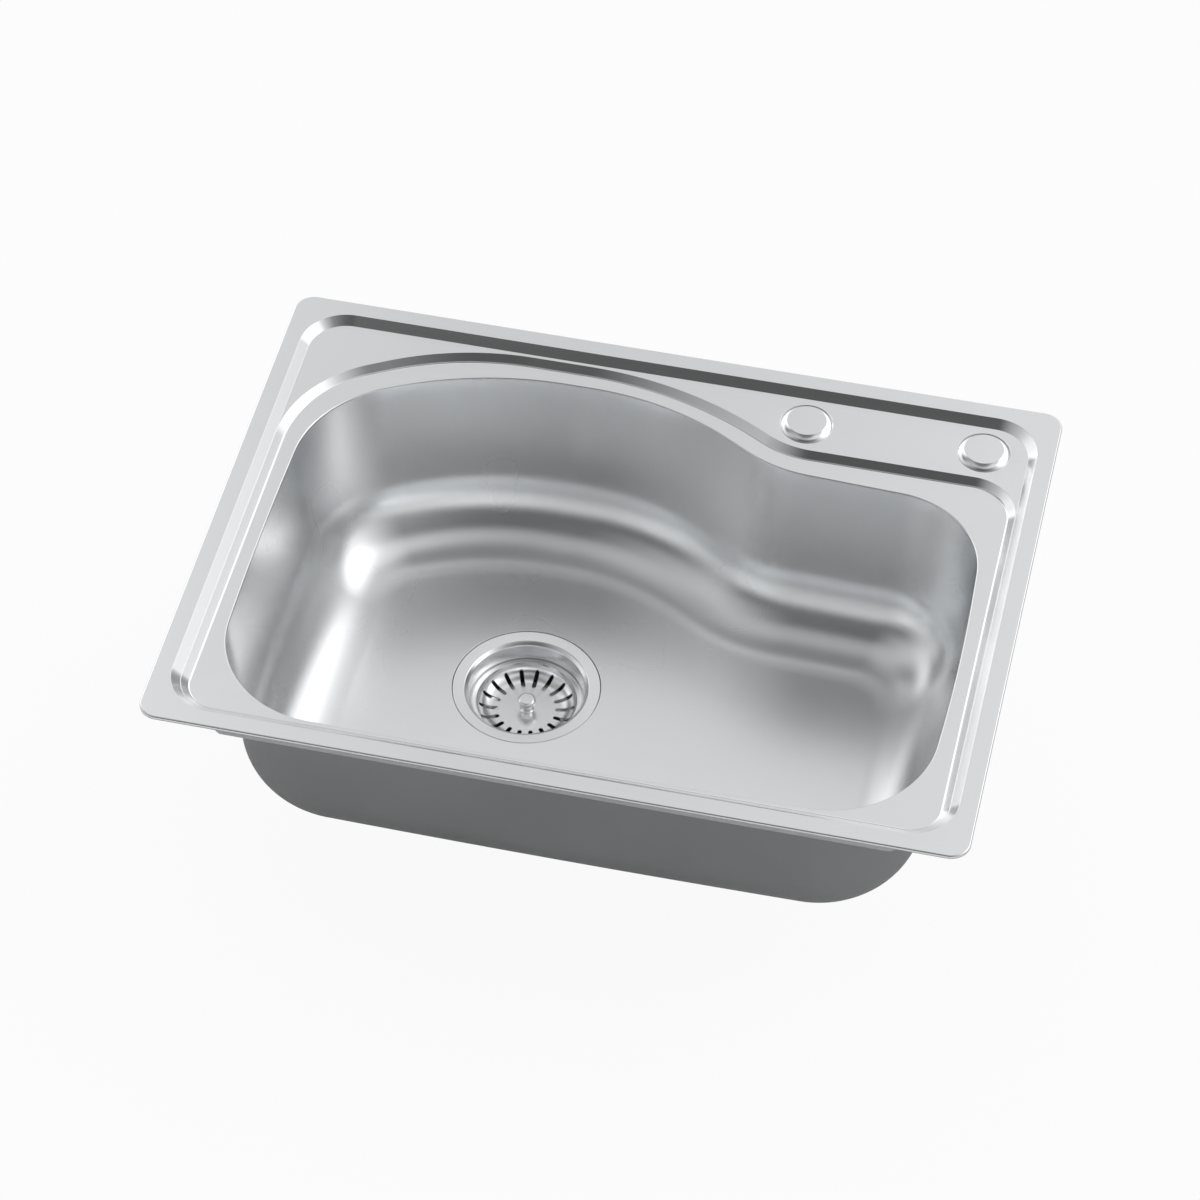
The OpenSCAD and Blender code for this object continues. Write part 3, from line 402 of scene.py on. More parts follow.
class Value:
    """A number socket. Sums and products of it add the Math nodes that work them out."""

    def __init__(self, tree, socket):
        self.tree = tree
        self.socket = socket

    def math(self, operation, other=None):
        links = {0: self}
        if other is not None:
            links[1] = other
        node = self.tree.node("ShaderNodeMath", {"operation": operation}, links)
        return Value(self.tree, node.outputs[0])

    def __add__(self, other):
        return self.math("ADD", other)

    def __sub__(self, other):
        return self.math("SUBTRACT", other)

    def __rsub__(self, other):
        return (self * -1) + other

    def __mul__(self, other):
        return self.math("MULTIPLY", other)

    def __truediv__(self, other):
        return self.math("DIVIDE", other)

    def ramp(self, low, high):
        """Smooth change from 0 to 1 as the value goes from low to high."""
        node = self.tree.node(
            "ShaderNodeMapRange",
            {"interpolation_type": "SMOOTHSTEP"},
            {"Value": self, "From Min": low, "From Max": high, "To Min": 0.0, "To Max": 1.0},
        )
        return Value(self.tree, node.outputs["Result"])


class Tree:
    """Adds nodes to one node tree, settings first and then values and links."""

    def __init__(self, tree):
        self.tree = tree

    def node(self, kind, settings=None, inputs=None):
        node = self.tree.nodes.new(kind)
        for key, value in (settings or {}).items():
            if key == "stops":
                ramp = node.color_ramp
                while len(ramp.elements) < len(value):
                    ramp.elements.new(0.5)
                for element, (place, colour) in zip(ramp.elements, value):
                    element.position = place
                    element.color = (*colour, 1)
            else:
                setattr(node, key, value)
        for key, value in (inputs or {}).items():
            socket = node.inputs[key]
            if isinstance(value, Value):
                self.tree.links.new(value.socket, socket)
            elif isinstance(value, bpy.types.NodeSocket):
                self.tree.links.new(value, socket)
            elif isinstance(value, (tuple, list)) and len(value) == 3 and socket.type == "RGBA":
                socket.default_value = (*value, 1)
            else:
                socket.default_value = value
        return node

    def number(self, socket):
        return Value(self, socket)

    def place(self):
        """Object coordinates of the shaded point, in metres."""
        return self.node("ShaderNodeTexCoord").outputs["Object"]

    def scaled(self, vector, scale):
        node = self.node("ShaderNodeVectorMath", {"operation": "MULTIPLY"}, {0: vector, 1: scale})
        return node.outputs[0]

    def noise(self, vector, scale, detail=2.0, roughness=0.5):
        node = self.node(
            "ShaderNodeTexNoise",
            {},
            {"Vector": vector, "Scale": scale, "Detail": detail, "Roughness": roughness},
        )
        return Value(self, node.outputs["Fac"])

    def blend(self, amount, first, second):
        """Colour between two colours. The Mix node's colour sockets are found by their index."""
        node = self.node("ShaderNodeMix", {"data_type": "RGBA"}, {0: amount, 6: first, 7: second})
        return node.outputs[2]

    def bump(self, height, strength, distance):
        node = self.node(
            "ShaderNodeBump",
            {},
            {"Height": height, "Strength": strength, "Distance": distance},
        )
        return node.outputs["Normal"]


# Scale of the large soft patches in the steel's polish
CLOUDS = 9.0


def new_material(name):
    material = bpy.data.materials.new(name)
    material.use_nodes = True
    material.node_tree.nodes.clear()
    return material, Tree(material.node_tree)


def darker(colour, factor):
    """The darker of the two colours between which a finish varies."""
    return tuple(c * factor for c in colour)


def surface(tree, **inputs):
    """A Principled shader whose sockets are named by keyword, with _ for a space."""
    named = {key.replace("_", " "): value for key, value in inputs.items()}
    shader = tree.node("ShaderNodeBsdfPrincipled", {}, named)
    tree.node("ShaderNodeOutputMaterial", {}, {"Surface": shader.outputs[0]})


def brushed(name, colour, rough, grain, depth):
    """Steel with a fine grain, of this scale and depth, and a slightly uneven polish."""
    material, t = new_material(name)
    place = t.place()
    streaks = t.noise(t.scaled(place, grain), 1.0, 3.0, 0.6)
    clouds = t.noise(place, CLOUDS)
    tone = (streaks * 0.5 + clouds * 0.5).ramp(0.2, 0.8)
    surface(
        t,
        Base_Color=t.blend(tone, darker(colour, 0.97), colour),
        Metallic=1.0,
        Roughness=(streaks - 0.5) * 0.015 + (clouds - 0.5) * 0.02 + rough,
        Normal=t.bump(streaks, 0.3, depth),
    )
    return material


def dull_sheet(name, colour, rough, spangle):
    """Zinc coated sheet: flat crystals of slightly different shine."""
    material, t = new_material(name)
    place = t.place()
    cells = t.node("ShaderNodeTexVoronoi", {"feature": "F1"}, {"Vector": place, "Scale": spangle})
    parts = t.node("ShaderNodeSeparateColor", {}, {"Color": cells.outputs["Color"]})
    tone = t.number(parts.outputs[0])
    clouds = t.noise(place, 35.0)
    surface(
        t,
        Base_Color=t.blend(tone * 0.7 + clouds * 0.3, darker(colour, 0.84), colour),
        Metallic=1.0,
        Roughness=(tone - 0.5) * 0.10 + (clouds - 0.5) * 0.06 + rough,
        Normal=t.bump(tone * 0.5 + clouds, 0.6, 0.00003),
    )
    return material


def moulded(name, colour, rough, grain, depth):
    """Rubber or plastic with the fine skin that its mould leaves."""
    material, t = new_material(name)
    place = t.place()
    skin = t.noise(place, grain, 3.0, 0.6)
    clouds = t.noise(place, 25.0)
    surface(
        t,
        Base_Color=t.blend(clouds.ramp(0.3, 0.7), darker(colour, 0.88), colour),
        Roughness=(skin - 0.5) * 0.16 + rough,
        Normal=t.bump(skin, 0.7, depth),
    )
    return material


def two_faced_steel(name, inner, outer, rough):
    """Satin steel inside the bowl and undressed drawn steel outside, told apart by an attribute.
    The outside's colour, far darker than steel, is painted shade.
    """
    material, t = new_material(name)
    place = t.place()
    source = {"attribute_name": "outside", "attribute_type": "GEOMETRY"}
    outside = t.number(t.node("ShaderNodeAttribute", source).outputs["Fac"])
    clouds = t.noise(place, CLOUDS)
    satin = t.blend(clouds, darker(inner, 0.96), inner)
    # Painted shade: the outside's colour is far darker than steel, so that it reflects dark
    drawn = t.blend(clouds, darker(outer, 0.8), outer)
    surface(
        t,
        Base_Color=t.blend(outside, satin, drawn),
        Metallic=1.0,
        Roughness=(clouds - 0.5) * 0.03 + rough + outside * 0.3,
    )
    return material


def finish_named(name):
    """Each finish is made once, when the first piece asks for it."""
    made = bpy.data.materials.get(name)
    if made:
        return made
    look = bpy.context.scene.sink_finish
    steel = tuple(look.steel)
    rough = look.roughness
    makers = {
        "satin_steel": lambda: brushed(name, steel, rough * 0.67, (4.0, 400.0, 400.0), 1.5e-6),
        "bowl_steel": lambda: two_faced_steel(name, steel, tuple(look.shaded_drawn_steel), rough),
        "turned_steel": lambda: brushed(name, steel, rough * 0.9, (90.0, 90.0, 700.0), 2e-7),
        "zinc_plate": lambda: dull_sheet(name, (0.62, 0.63, 0.65), 0.26, 260.0),
        "galvanised_sheet": lambda: dull_sheet(name, tuple(look.galvanised), 0.42, 130.0),
        "moulded_rubber": lambda: moulded(name, (0.035, 0.035, 0.037), 0.6, 700.0, 0.00006),
        "strip_rubber": lambda: moulded(name, (0.09, 0.09, 0.095), 0.75, 500.0, 0.0001),
        "damping_sheet": lambda: moulded(name, (0.11, 0.115, 0.12), 0.8, 240.0, 0.0003),
        "white_plastic": lambda: moulded(name, (0.78, 0.78, 0.76), 0.4, 900.0, 0.00002),
    }
    return makers[name]()


# Shapes made by Geometry Nodes and other modifiers


def finished(obj):
    """The plain mesh that an object's modifiers make of it, in place of the object."""
    name = obj.name
    graph = bpy.context.evaluated_depsgraph_get()
    made = bpy.data.meshes.new_from_object(obj.evaluated_get(graph))
    obj.modifiers.clear()
    bpy.data.objects.remove(obj)
    if not made.polygons:
        raise RuntimeError(f"{name} came out empty")
    return made


class Recipe:
    """A Geometry Nodes tree with named inputs, run on one mesh."""

    def __init__(self, name):
        self.group = bpy.data.node_groups.new(name, "GeometryNodeTree")
        self.t = Tree(self.group)
        self.values = {}
        socket = self.group.interface.new_socket
        socket(name="Geometry", in_out="OUTPUT", socket_type="NodeSocketGeometry")
        socket(name="Geometry", in_out="INPUT", socket_type="NodeSocketGeometry")

    def value(self, name, kind, value):
        item = self.group.interface.new_socket(name=name, in_out="INPUT", socket_type=kind)
        self.values[item.identifier] = value

    def inputs(self):
        return self.group.nodes.new("NodeGroupInput").outputs

    def end(self, geometry, material):
        real = self.t.node("GeometryNodeRealizeInstances", {}, {"Geometry": geometry})
        painted = self.t.node(
            "GeometryNodeSetMaterial", {}, {"Geometry": real.outputs[0], "Material": material}
        )
        out = self.group.nodes.new("NodeGroupOutput")
        self.group.links.new(painted.outputs[0], out.inputs[0])

    def run(self, name, data):
        obj = placed(name, data)
        modifier = obj.modifiers.new("recipe", "NODES")
        modifier.node_group = self.group
        for key, value in self.values.items():
            modifier[key] = value
        return finished(obj)


def repeated_round(name, data, count, material, first=0.0):
    """Copies of one mesh turned about the Z axis, evenly spaced."""
    recipe = Recipe(name)
    recipe.value("Count", "NodeSocketInt", count)
    recipe.value("First Angle", "NodeSocketFloat", first)
    source = recipe.inputs()
    t = recipe.t
    line = t.node(
        "GeometryNodeMeshLine",
        {"mode": "OFFSET"},
        {"Count": source["Count"], "Offset": (0.0, 0.0, 0.0)},
    )
    index = t.number(t.node("GeometryNodeInputIndex").outputs[0])
    step = index * math.tau / t.number(source["Count"]) + t.number(source["First Angle"])
    turn = t.node("ShaderNodeCombineXYZ", {}, {"Z": step})
    copies = t.node(
        "GeometryNodeInstanceOnPoints",
        {},
        {"Points": line.outputs[0], "Instance": source["Geometry"], "Rotation": turn.outputs[0]},
    )
    recipe.end(copies.outputs[0], material)
    return recipe.run(name, data)


def thread(name, radius, pitch, length, depth, material):
    """A screw thread: a ridge swept along a helix about the Z axis, from z = 0 upwards."""
    recipe = Recipe(name)
    recipe.value("Radius", "NodeSocketFloat", radius)
    recipe.value("Pitch", "NodeSocketFloat", pitch)
    recipe.value("Turns", "NodeSocketFloat", length / pitch)
    recipe.value("Ridge", "NodeSocketFloat", depth)
    source = recipe.inputs()
    t = recipe.t
    turns = t.number(source["Turns"])
    helix = t.node(
        "GeometryNodeCurveSpiral",
        {},
        {
            "Resolution": 20,
            "Rotations": turns,
            "Start Radius": source["Radius"],
            "End Radius": source["Radius"],
            "Height": turns * t.number(source["Pitch"]),
        },
    )
    section = t.node(
        "GeometryNodeCurvePrimitiveCircle",
        {"mode": "RADIUS"},
        {"Resolution": 6, "Radius": source["Ridge"]},
    )
    ridge = t.node(
        "GeometryNodeCurveToMesh",
        {},
        {"Curve": helix.outputs[0], "Profile Curve": section.outputs[0], "Fill Caps": True},
    )
    recipe.end(ridge.outputs[0], material)
    return recipe.run(name, bpy.data.meshes.new(name + "_source"))


def block(size, centre, bevel=0.0):
    """A closed block with bevelled edges."""
    data = bpy.data.meshes.new("block")
    work = bmesh.new()
    bmesh.ops.create_cube(work, size=1.0)
    for vert in work.verts:
        vert.co = Vector([(c + v * s) * MM for c, v, s in zip(centre, vert.co, size)])
    if bevel:
        edges = work.edges[:]
        bmesh.ops.bevel(
            work, geom=edges, offset=bevel * MM, segments=2, affect="EDGES", profile=0.5
        )
    work.to_mesh(data)
    work.free()
    return data


def merged(meshes, sharp=35):
    """One mesh of several closed ones, smooth but for its sharp edges."""
    data = bpy.data.meshes.new("merged")
    work = bmesh.new()
    for mesh in meshes:
        work.from_mesh(mesh)
    bmesh.ops.remove_doubles(work, verts=work.verts, dist=1e-7)
    work.to_mesh(data)
    work.free()
    data.shade_smooth()
    data.set_sharp_from_angle(angle=math.radians(sharp))
    return data


def cut_by(data, cutters, operation="DIFFERENCE"):
    """Exact boolean of two meshes, run at once and kept as a plain mesh."""
    first = placed("cut_target", data)
    second = placed("cut_tool", cutters)
    modifier = first.modifiers.new("cut", "BOOLEAN")
    modifier.object = second
    modifier.solver = "EXACT"
    modifier.operation = operation
    modifier.use_self = True
    made = finished(first)
    bpy.data.objects.remove(second)
    return made


def moved(data, x, y, z):
    """Shifts a mesh by so many millimetres."""
    data.transform(Matrix.Translation((x * MM, y * MM, z * MM)))
    return data


def at_drain(data, depth):
    """Puts a mesh made about the origin on the waste's axis, this far below the bowl's floor."""
    return moved(data, DRAIN[0], DRAIN[1], FLOOR - depth)


def turned_at_drain(node, profile, material, body, name=None):
    """A turned piece of the waste, in place of one CAD node and named after it if not by name."""
    name = name or node + "_skin"
    shell = Shell()
    shell.lathe([(r, z + FLOOR) for r, z in rounded_profile(profile)], DRAIN)
    add(name, shell.mesh(name), material, body, [node])


def paint(node, finish):
    """Gives a CAD node that stays in sight its finish."""
    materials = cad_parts[node].data.materials
    materials.clear()
    materials.append(finish_named(finish))


# Sizes and finishes that a user would change


def length_value(name, description, default, low, high):
    return FloatProperty(
        name=name, description=description, default=default, min=low, max=high, unit="LENGTH"
    )


def colour_value(name, description, default):
    return FloatVectorProperty(
        name=name, description=description, default=default, subtype="COLOR", min=0.0, max=1.0
    )


class SinkSizes(bpy.types.PropertyGroup):
    fold_radius: length_value(
        "Fold radius", "Radius of the pressed folds at both steps", 0.0004, 0.0001, 0.001
    )
    edge_radius: length_value(
        "Edge radius", "Radius of the rolled outer edge of the rim", 0.0012, 0.0005, 0.002
    )
    mouth_radius: length_value(
        "Mouth radius", "Radius where the ledge turns down into the bowl", 0.0009, 0.0003, 0.002
    )
    slot_count: IntProperty(
        name="Basket slots",
        description="Number of radial slots in the basket",
        default=18,
        min=6,
        max=24,
    )
    thread_pitch: length_value(
        "Screw pitch", "Pitch of the clip screws' thread", 0.001, 0.0008, 0.0015
    )


class SinkFinish(bpy.types.PropertyGroup):
    steel: colour_value("Steel", "Colour of the satin steel", (0.845, 0.855, 0.865))
    # Outside of the bowl: undressed steel whose dark colour is painted shade
    shaded_drawn_steel: colour_value(
        "Drawn steel", "Colour of the undressed outside of the bowl", (0.34, 0.345, 0.35)
    )
    galvanised: colour_value("Galvanised sheet", "Colour of rails and brackets", (0.5, 0.51, 0.52))
    roughness: FloatProperty(
        name="Steel roughness",
        description="Roughness of the bowl's steel, which the other steels follow",
        default=0.27,
        min=0.05,
        max=0.6,
        subtype="FACTOR",
    )


# Pieces


def fold(ring, z, run, drop, top, foot):
    """Rings of one pressed step: a fold of radius top, the slope and the fold at its foot."""
    path = rounded_path([(-3, z, 0), (0, z, top), (run, z - drop, foot), (run + 3, z - drop, 0)], 6)
    return [(ring(p[0]), p[1]) for p in path[1:-1]]


class SINK_OT_deck(bpy.types.Operator):
    """Presses the deck: rolled rim, two steps, ledge, tap holes and mouth"""

    bl_idname = "sink.deck"
    bl_label = "Deck"

    def execute(self, context):
        sizes = context.scene.sink_sizes
        r = sizes.fold_radius / MM
        edge = sizes.edge_radius / MM
        lip = sizes.mouth_radius / MM
        shell = Shell()
        outer = [
            shell.ring(rim_ring(0), EDGE_FOOT_Z),
            shell.ring(rim_ring(0), RIM_Z - edge - 0.3),
        ]
        for a in evenly(0, math.pi / 2, 8):
            rise = edge * math.sin(a)
            outer.append(shell.ring(rim_ring(edge * (1 - math.cos(a))), RIM_Z - edge + rise))
        first = fold(step_ring, RIM_Z, STEP_RUN, STEP_DROP, r, r)
        second = fold(ledge_ring, TAP_Z, LEDGE_RUN, LEDGE_DROP, r, WIDE_FOOT * r)
        step1 = [shell.ring(plan, z) for plan, z in first]
        step2 = [shell.ring(plan, z) for plan, z in second]
        mouth = []
        for a in evenly(0, math.pi / 2, 6):
            fall = lip * (1 - math.cos(a))
            mouth.append(shell.ring(mouth_ring(-lip * (1 - math.sin(a))), LEDGE_Z - fall))
        mouth.append(shell.ring(mouth_ring(0), MOUTH_FOOT_Z))
        levels = ((TAP_EDGE_R, TAP_Z), (TAP_R, TAP_Z + TAP_R - TAP_EDGE_R), (TAP_R, TAP_Z - SHEET))
        holes = [[shell.ring(circle(at, out, 64), z) for out, z in levels] for at in TAP_HOLES]
        shell.strips(outer)
        shell.flat(outer[-1], [step1[0]])
        shell.strips(step1)
        shell.flat(step1[-1], [step2[0]] + [hole[0] for hole in holes])
        shell.strips(step2)
        shell.flat(step2[-1], [mouth[0]])
        shell.strips(mouth)
        for hole in holes:
            shell.strips(hole)
        cut_foot = shell.ring(mouth_ring(-SHEET), MOUTH_FOOT_Z)
        under = [
            shell.ring(ledge_ring(LEDGE_RUN - LEDGE_UNDER), JOIN_Z),
            shell.ring(ledge_ring(-LEDGE_UNDER), TAP_Z - SHEET),
            shell.ring(step_ring(STEP_RUN - STEP_UNDER), TAP_Z - SHEET),
            shell.ring(step_ring(-STEP_UNDER), RIM_Z - SHEET),
            shell.ring(rim_ring(SHEET), RIM_Z - SHEET),
            shell.ring(rim_ring(SHEET), EDGE_FOOT_Z),
        ]
        seat = shell.ring(mouth_ring(-SHEET), JOIN_Z)
        shell.strips([mouth[-1], cut_foot, seat])
        shell.flat(under[0], [seat], up=False)
        shell.strip(under[0], under[1])
        shell.flat(under[2], [under[1]] + [hole[-1] for hole in holes], up=False)
        shell.strip(under[2], under[3])
        shell.flat(under[4], [under[3]], up=False)
        shell.strips([under[4], under[5], outer[0]])
        add("deck_skin", shell.mesh("deck_skin"), finish_named("satin_steel"), "sink", ["deck"])
        return {"FINISHED"}


class SINK_OT_bowl(bpy.types.Operator):
    """Draws the bowl: wall, floor fillet, floor and the outlet's recess"""

    bl_idname = "sink.bowl"
    bl_label = "Bowl"

    def execute(self, context):
        shell = Shell()
        slope = math.tan(DRAFT)
        wall_foot = ARC_Z - FLOOR_R * math.sin(DRAFT)
        wall = [shell.ring(mouth_ring(-SEAM_OUT), z) for z in (JOIN_Z, SEAM_FOOT_Z)]
        for z in evenly(WALL_Z, wall_foot, 8):
            wall.append(shell.ring(mouth_ring((JOIN_Z - z) * slope), z))
        for a in evenly(DRAFT, math.pi / 2, 46)[1:]:
            plan = mouth_ring(FLOOR_RUN - FLOOR_R * math.cos(a))
            wall.append(shell.ring(plan, ARC_Z - FLOOR_R * math.sin(a)))
        shell.strips(wall)
        pocket = rounded_path(
            [
                (64, FLOOR, 0),
                (57.9, FLOOR, 0.4),
                (57.9, RECESS_Z, 0.4),
                (WASTE_HOLE_R, RECESS_Z, 0),
                (WASTE_HOLE_R, RECESS_UNDER_Z, 0),
            ],
            6,
        )
        recess = [shell.ring(circle(DRAIN, r, 128), z) for r, z in pocket[1:]]
        shell.flat(wall[-1], [recess[0]])
        shell.strips(recess)
        inner_count = len(shell.points)
        outer_r = FLOOR_R + SHEET
        back = []
        for a in evenly(math.pi / 2, DRAFT, 24):
            plan = mouth_ring(FLOOR_RUN - outer_r * math.cos(a))
            back.append(shell.ring(plan, ARC_Z - outer_r * math.sin(a)))
        foot = ARC_Z - outer_r * math.sin(DRAFT)
        for z in evenly(foot, JOIN_Z, 6)[1:]:
            out = SHEET / math.cos(DRAFT)
            back.append(shell.ring(mouth_ring((JOIN_Z - z) * slope - out), z))
        well = rounded_path(
            [
                (WASTE_HOLE_R, RECESS_UNDER_Z, 0),
                (59.3, RECESS_UNDER_Z, 1.2),
                (59.3, FLOOR_UNDER_Z, 0.8),
                (64, FLOOR_UNDER_Z, 0),
            ],
            6,
        )
        under = [shell.ring(circle(DRAIN, r, 128), z) for r, z in well[1:-1]]
        shell.strips([recess[-1]] + under)
        shell.flat(back[0], [under[-1]], up=False)
        shell.strips(back)
        shell.strip(back[-1], wall[0])
        data = shell.mesh("bowl_skin")
        # Marks the outside's points, which the bowl's steel paints darker as painted shade
        mark = data.attributes.new("outside", "FLOAT", "POINT")
        mark.data.foreach_set("value", [float(i >= inner_count) for i in range(len(shell.points))])
        add("bowl_skin", data, finish_named("bowl_steel"), "sink", ["bowl"])
        return {"FINISHED"}


def cap_profile():
    """Half section of a hole's cap: a foot, a side that starts steep and eases inwards, and the
    flat top with its hollow."""
    r, z = [0.0], [0.0]
    for a in evenly(60, 27, 14):
        r.append(r[-1] - math.cos(math.radians(a)))
        z.append(z[-1] + math.sin(math.radians(a)))
    wide, tall = CAP_SIDE_RUN / -r[-1], CAP_SIDE_RISE / z[-1]
    side = [(CAP_R - 0.15 + u * wide, 0.7 + v * tall) for u, v in zip(r, z)]
    foot = [(CAP_HOLLOW_R, 0), (CAP_R - 0.15, 0), (CAP_R, 0.15), (CAP_R, 0.5)]
    hollow = [(0, CAP_H - SHEET), (CAP_HOLLOW_R, CAP_H - SHEET)]
    return foot + side + [(CAP_FLAT_R, CAP_H), (0, CAP_H)] + hollow


class SINK_OT_covers(bpy.types.Operator):
    """Presses the caps of both tap holes and paints their split plugs"""

    bl_idname = "sink.covers"
    bl_label = "Hole covers"

    def execute(self, context):
        steel = finish_named("satin_steel")
        for name, hole in zip(("tap_cover", "spare_cover"), TAP_HOLES):
            shell = Shell()
            shell.lathe([(r, TAP_Z + z) for r, z in cap_profile()], hole, 128)
            add(name + "_skin", shell.mesh(name + "_skin"), steel, name, [name + "_cap"])
            paint(name + "_plug", "white_plastic")
        return {"FINISHED"}


class SINK_OT_strainer(bpy.types.Operator):
    """Presses the strainer's body with its flange, throat, seat, cup and outlet"""

    bl_idname = "sink.strainer"
    bl_label = "Strainer"

    def execute(self, context):
        steel = finish_named("turned_steel")
        turned_at_drain("strainer_body", STRAINER, steel, "sink", name="strainer_skin")
        return {"FINISHED"}


def basket_profile():
    """Half section of the pressed basket: rim, side bent down to the floor, hole of the stem."""
    inner, outer = [], []
    for a in evenly(0, math.pi / 2, 18):
        down, along = math.sin(a), math.cos(a)
        inner.append((BASKET_FLAT_R + 13.3 * along, BASKET_TOP - 10 * down))
        outer.append((BASKET_FLAT_R + 14.1 * down, BASKET_TOP - 1 - 9.8 * along))
    rim = [(BASKET_R - 0.3, BASKET_TOP), (39.6, BASKET_TOP)]
    hole = [(STEM_HOLE_R, BASKET_FLOOR), (STEM_HOLE_R, BASKET_UNDER)]
    edge = [(BASKET_R - 0.1, -1), (BASKET_R, -0.9), (BASKET_R, -0.3), (BASKET_R - 0.1, -0.1)]
    return rim + inner + hole + outer + [(r, BASKET_TOP + z) for r, z in edge]


def slot_cutter():
    """A block with round ends, which lies along X and cuts one radial slot."""
    shell = Shell()
    ring = []
    for end, start in ((SLOT_OUT_R, -math.pi / 2), (SLOT_IN_R, math.pi / 2)):
        for a in evenly(start, start + math.pi, 12):
            ring.append((end + SLOT_HALF * math.cos(a), SLOT_HALF * math.sin(a)))
    low, high = (shell.ring(ring, z) for z in SLOT_CUT)
    shell.strip(low, high)
    shell.faces += [tuple(reversed(low)), tuple(high)]
    return shell.mesh("slot", 40)


class SINK_OT_basket(bpy.types.Operator):
    """Presses the basket, cuts its radial slots and turns the knob's guide"""

    bl_idname = "sink.basket"
    bl_label = "Basket"

    def execute(self, context):
        steel = finish_named("turned_steel")
        shell = Shell()
        shell.lathe(basket_profile(), (0, 0), 144)
        body = shell.mesh("basket_body", 40)
        count = context.scene.sink_sizes.slot_count
        slots = repeated_round("basket_slots", slot_cutter(), count, steel, math.pi / 2)
        made = at_drain(merged([cut_by(body, slots)], 38), 0)
        add("basket_skin", made, steel, "basket", ["basket"])
        flare = [(GUIDE_BORE_R, BASKET_FLOOR, 0)]
        for a in evenly(0, math.pi / 2, 10):
            rise = GUIDE_H * (0.9 * (1 - math.cos(a)) + 0.2 * a / math.pi)
            flare.append((GUIDE_R - GUIDE_H * math.sin(a), BASKET_FLOOR + rise, 0))
        flare.append((GUIDE_BORE_R, BASKET_FLOOR + GUIDE_H, 0))
        turned_at_drain("knob_guide", flare, steel, "basket")
        turned_at_drain("grip_ring", GRIP_RING, finish_named("zinc_plate"), "basket")
        return {"FINISHED"}


def hexagon_nut():
    """The nut under the stopper, with its foot at the origin."""
    nut = Shell()
    six = circle((0, 0), NUT_CORNER_R, 6)
    hole = circle((0, 0), STEM_HOLE_R, 36)
    low = [nut.ring(hole, 0), nut.ring(six * 0.95, 0), nut.ring(six, 0.3)]
    high = [nut.ring(six, NUT_H - 0.3), nut.ring(six * 0.95, NUT_H), nut.ring(hole, NUT_H)]
    nut.flat(low[1], [low[0]], up=False)
    nut.strips([low[1], low[2], high[0], high[1]])
    nut.flat(high[1], [high[2]])
    nut.strip(high[2], low[0])
    return nut.mesh("stem_nut_skin", 20)


class SINK_OT_stopper(bpy.types.Operator):
    """Turns the mushroom knob, its stem, the stopper and its plate and nut"""

    bl_idname = "sink.stopper"
    bl_label = "Stopper"

    def execute(self, context):
        steel = finish_named("turned_steel")
        zinc = finish_named("zinc_plate")
        knob = list(KNOB_NECK)
        for a in evenly(0, math.pi / 2, 12):
            r = KNOB_R - 2.2 * (1 - math.cos(a))
            knob.append((r, KNOB_H - 2.4 * (1 - math.sin(a)), 0))
        knob += [(0, KNOB_H, 0), (0, KNOB_SOCKET_H, 0), (STEM_HOLE_R, KNOB_SOCKET_H, 0)]
        knob = [(r, KNOB_FOOT_Z + z, corner) for r, z, corner in knob]
        turned_at_drain("knob", knob, steel, "stopper")
        turned_at_drain("stem", STEM, zinc, "stopper")
        turned_at_drain("stopper_plate", STOPPER_PLATE, steel, "stopper")
        rubber = finish_named("moulded_rubber")
        turned_at_drain("stopper_disc", STOPPER_DISC, rubber, "stopper")
        nut = at_drain(hexagon_nut(), NUT_DEPTH)
        add("stem_nut_skin", nut, zinc, "stopper", ["stem_nut"])
        return {"FINISHED"}


def gripped(name, profile, steps, grip, count, material):
    """A turned piece about the origin with blocks round it that give a hand or tool its hold."""
    shell = Shell()
    shell.lathe(rounded_profile(profile), (0, 0), steps)
    grips = repeated_round(name + "_grips", block(*grip), count, material)
    return merged([cut_by(shell.mesh(name, 40), grips, "UNION")])


class SINK_OT_outlet(bpy.types.Operator):
    """Makes the gaskets, the lock nut, the coupling nut and the tailpiece"""

    bl_idname = "sink.outlet"
    bl_label = "Outlet"

    def execute(self, context):
        rubber = finish_named("moulded_rubber")
        plastic = finish_named("white_plastic")
        zinc = finish_named("zinc_plate")
        for node, inner_r, outer_r, low, high, corner in FLAT_RINGS:
            plan = ((inner_r, low), (outer_r, low), (outer_r, high), (inner_r, high))
            section = [(r, z, corner) for r, z in plan]
            if node == "friction_ring":
                turned_at_drain(node, section, plastic, "sink")
            else:
                turned_at_drain(node, section, rubber, "sink")
        nut = at_drain(gripped("lock_nut", LOCK_NUT, 128, LOCK_NUT_LUG, 8, zinc), LOCK_NUT_DEPTH)
        add("lock_nut_skin", nut, zinc, "sink", ["lock_nut"])
        turned_at_drain("tailpiece", TAILPIECE, plastic, "sink")
        nut = gripped("coupling_nut", COUPLING_NUT, 96, COUPLING_GRIP, 10, plastic)
        nut = at_drain(nut, COUPLING_DEPTH)
        add("coupling_nut_skin", nut, plastic, "sink", ["coupling_nut"])
        return {"FINISHED"}


def clip_screw(name, spot, pitch, material):
    """A cheese head screw with its slit, thread and keeper ring, made in one mesh."""
    body = Shell()
    body.lathe(rounded_profile(CLIP_SCREW), (0, 0), 48)
    screw = cut_by(body.mesh(name + "_shank", 40), block(*SCREW_SLIT))
    ridge = thread(name + "_thread", SHANK_R * MM, pitch, THREAD_L * MM, RIDGE_R * MM, material)
    return moved(merged([screw, moved(ridge, 0, 0, THREAD_FOOT_Z)]), *spot, 0)


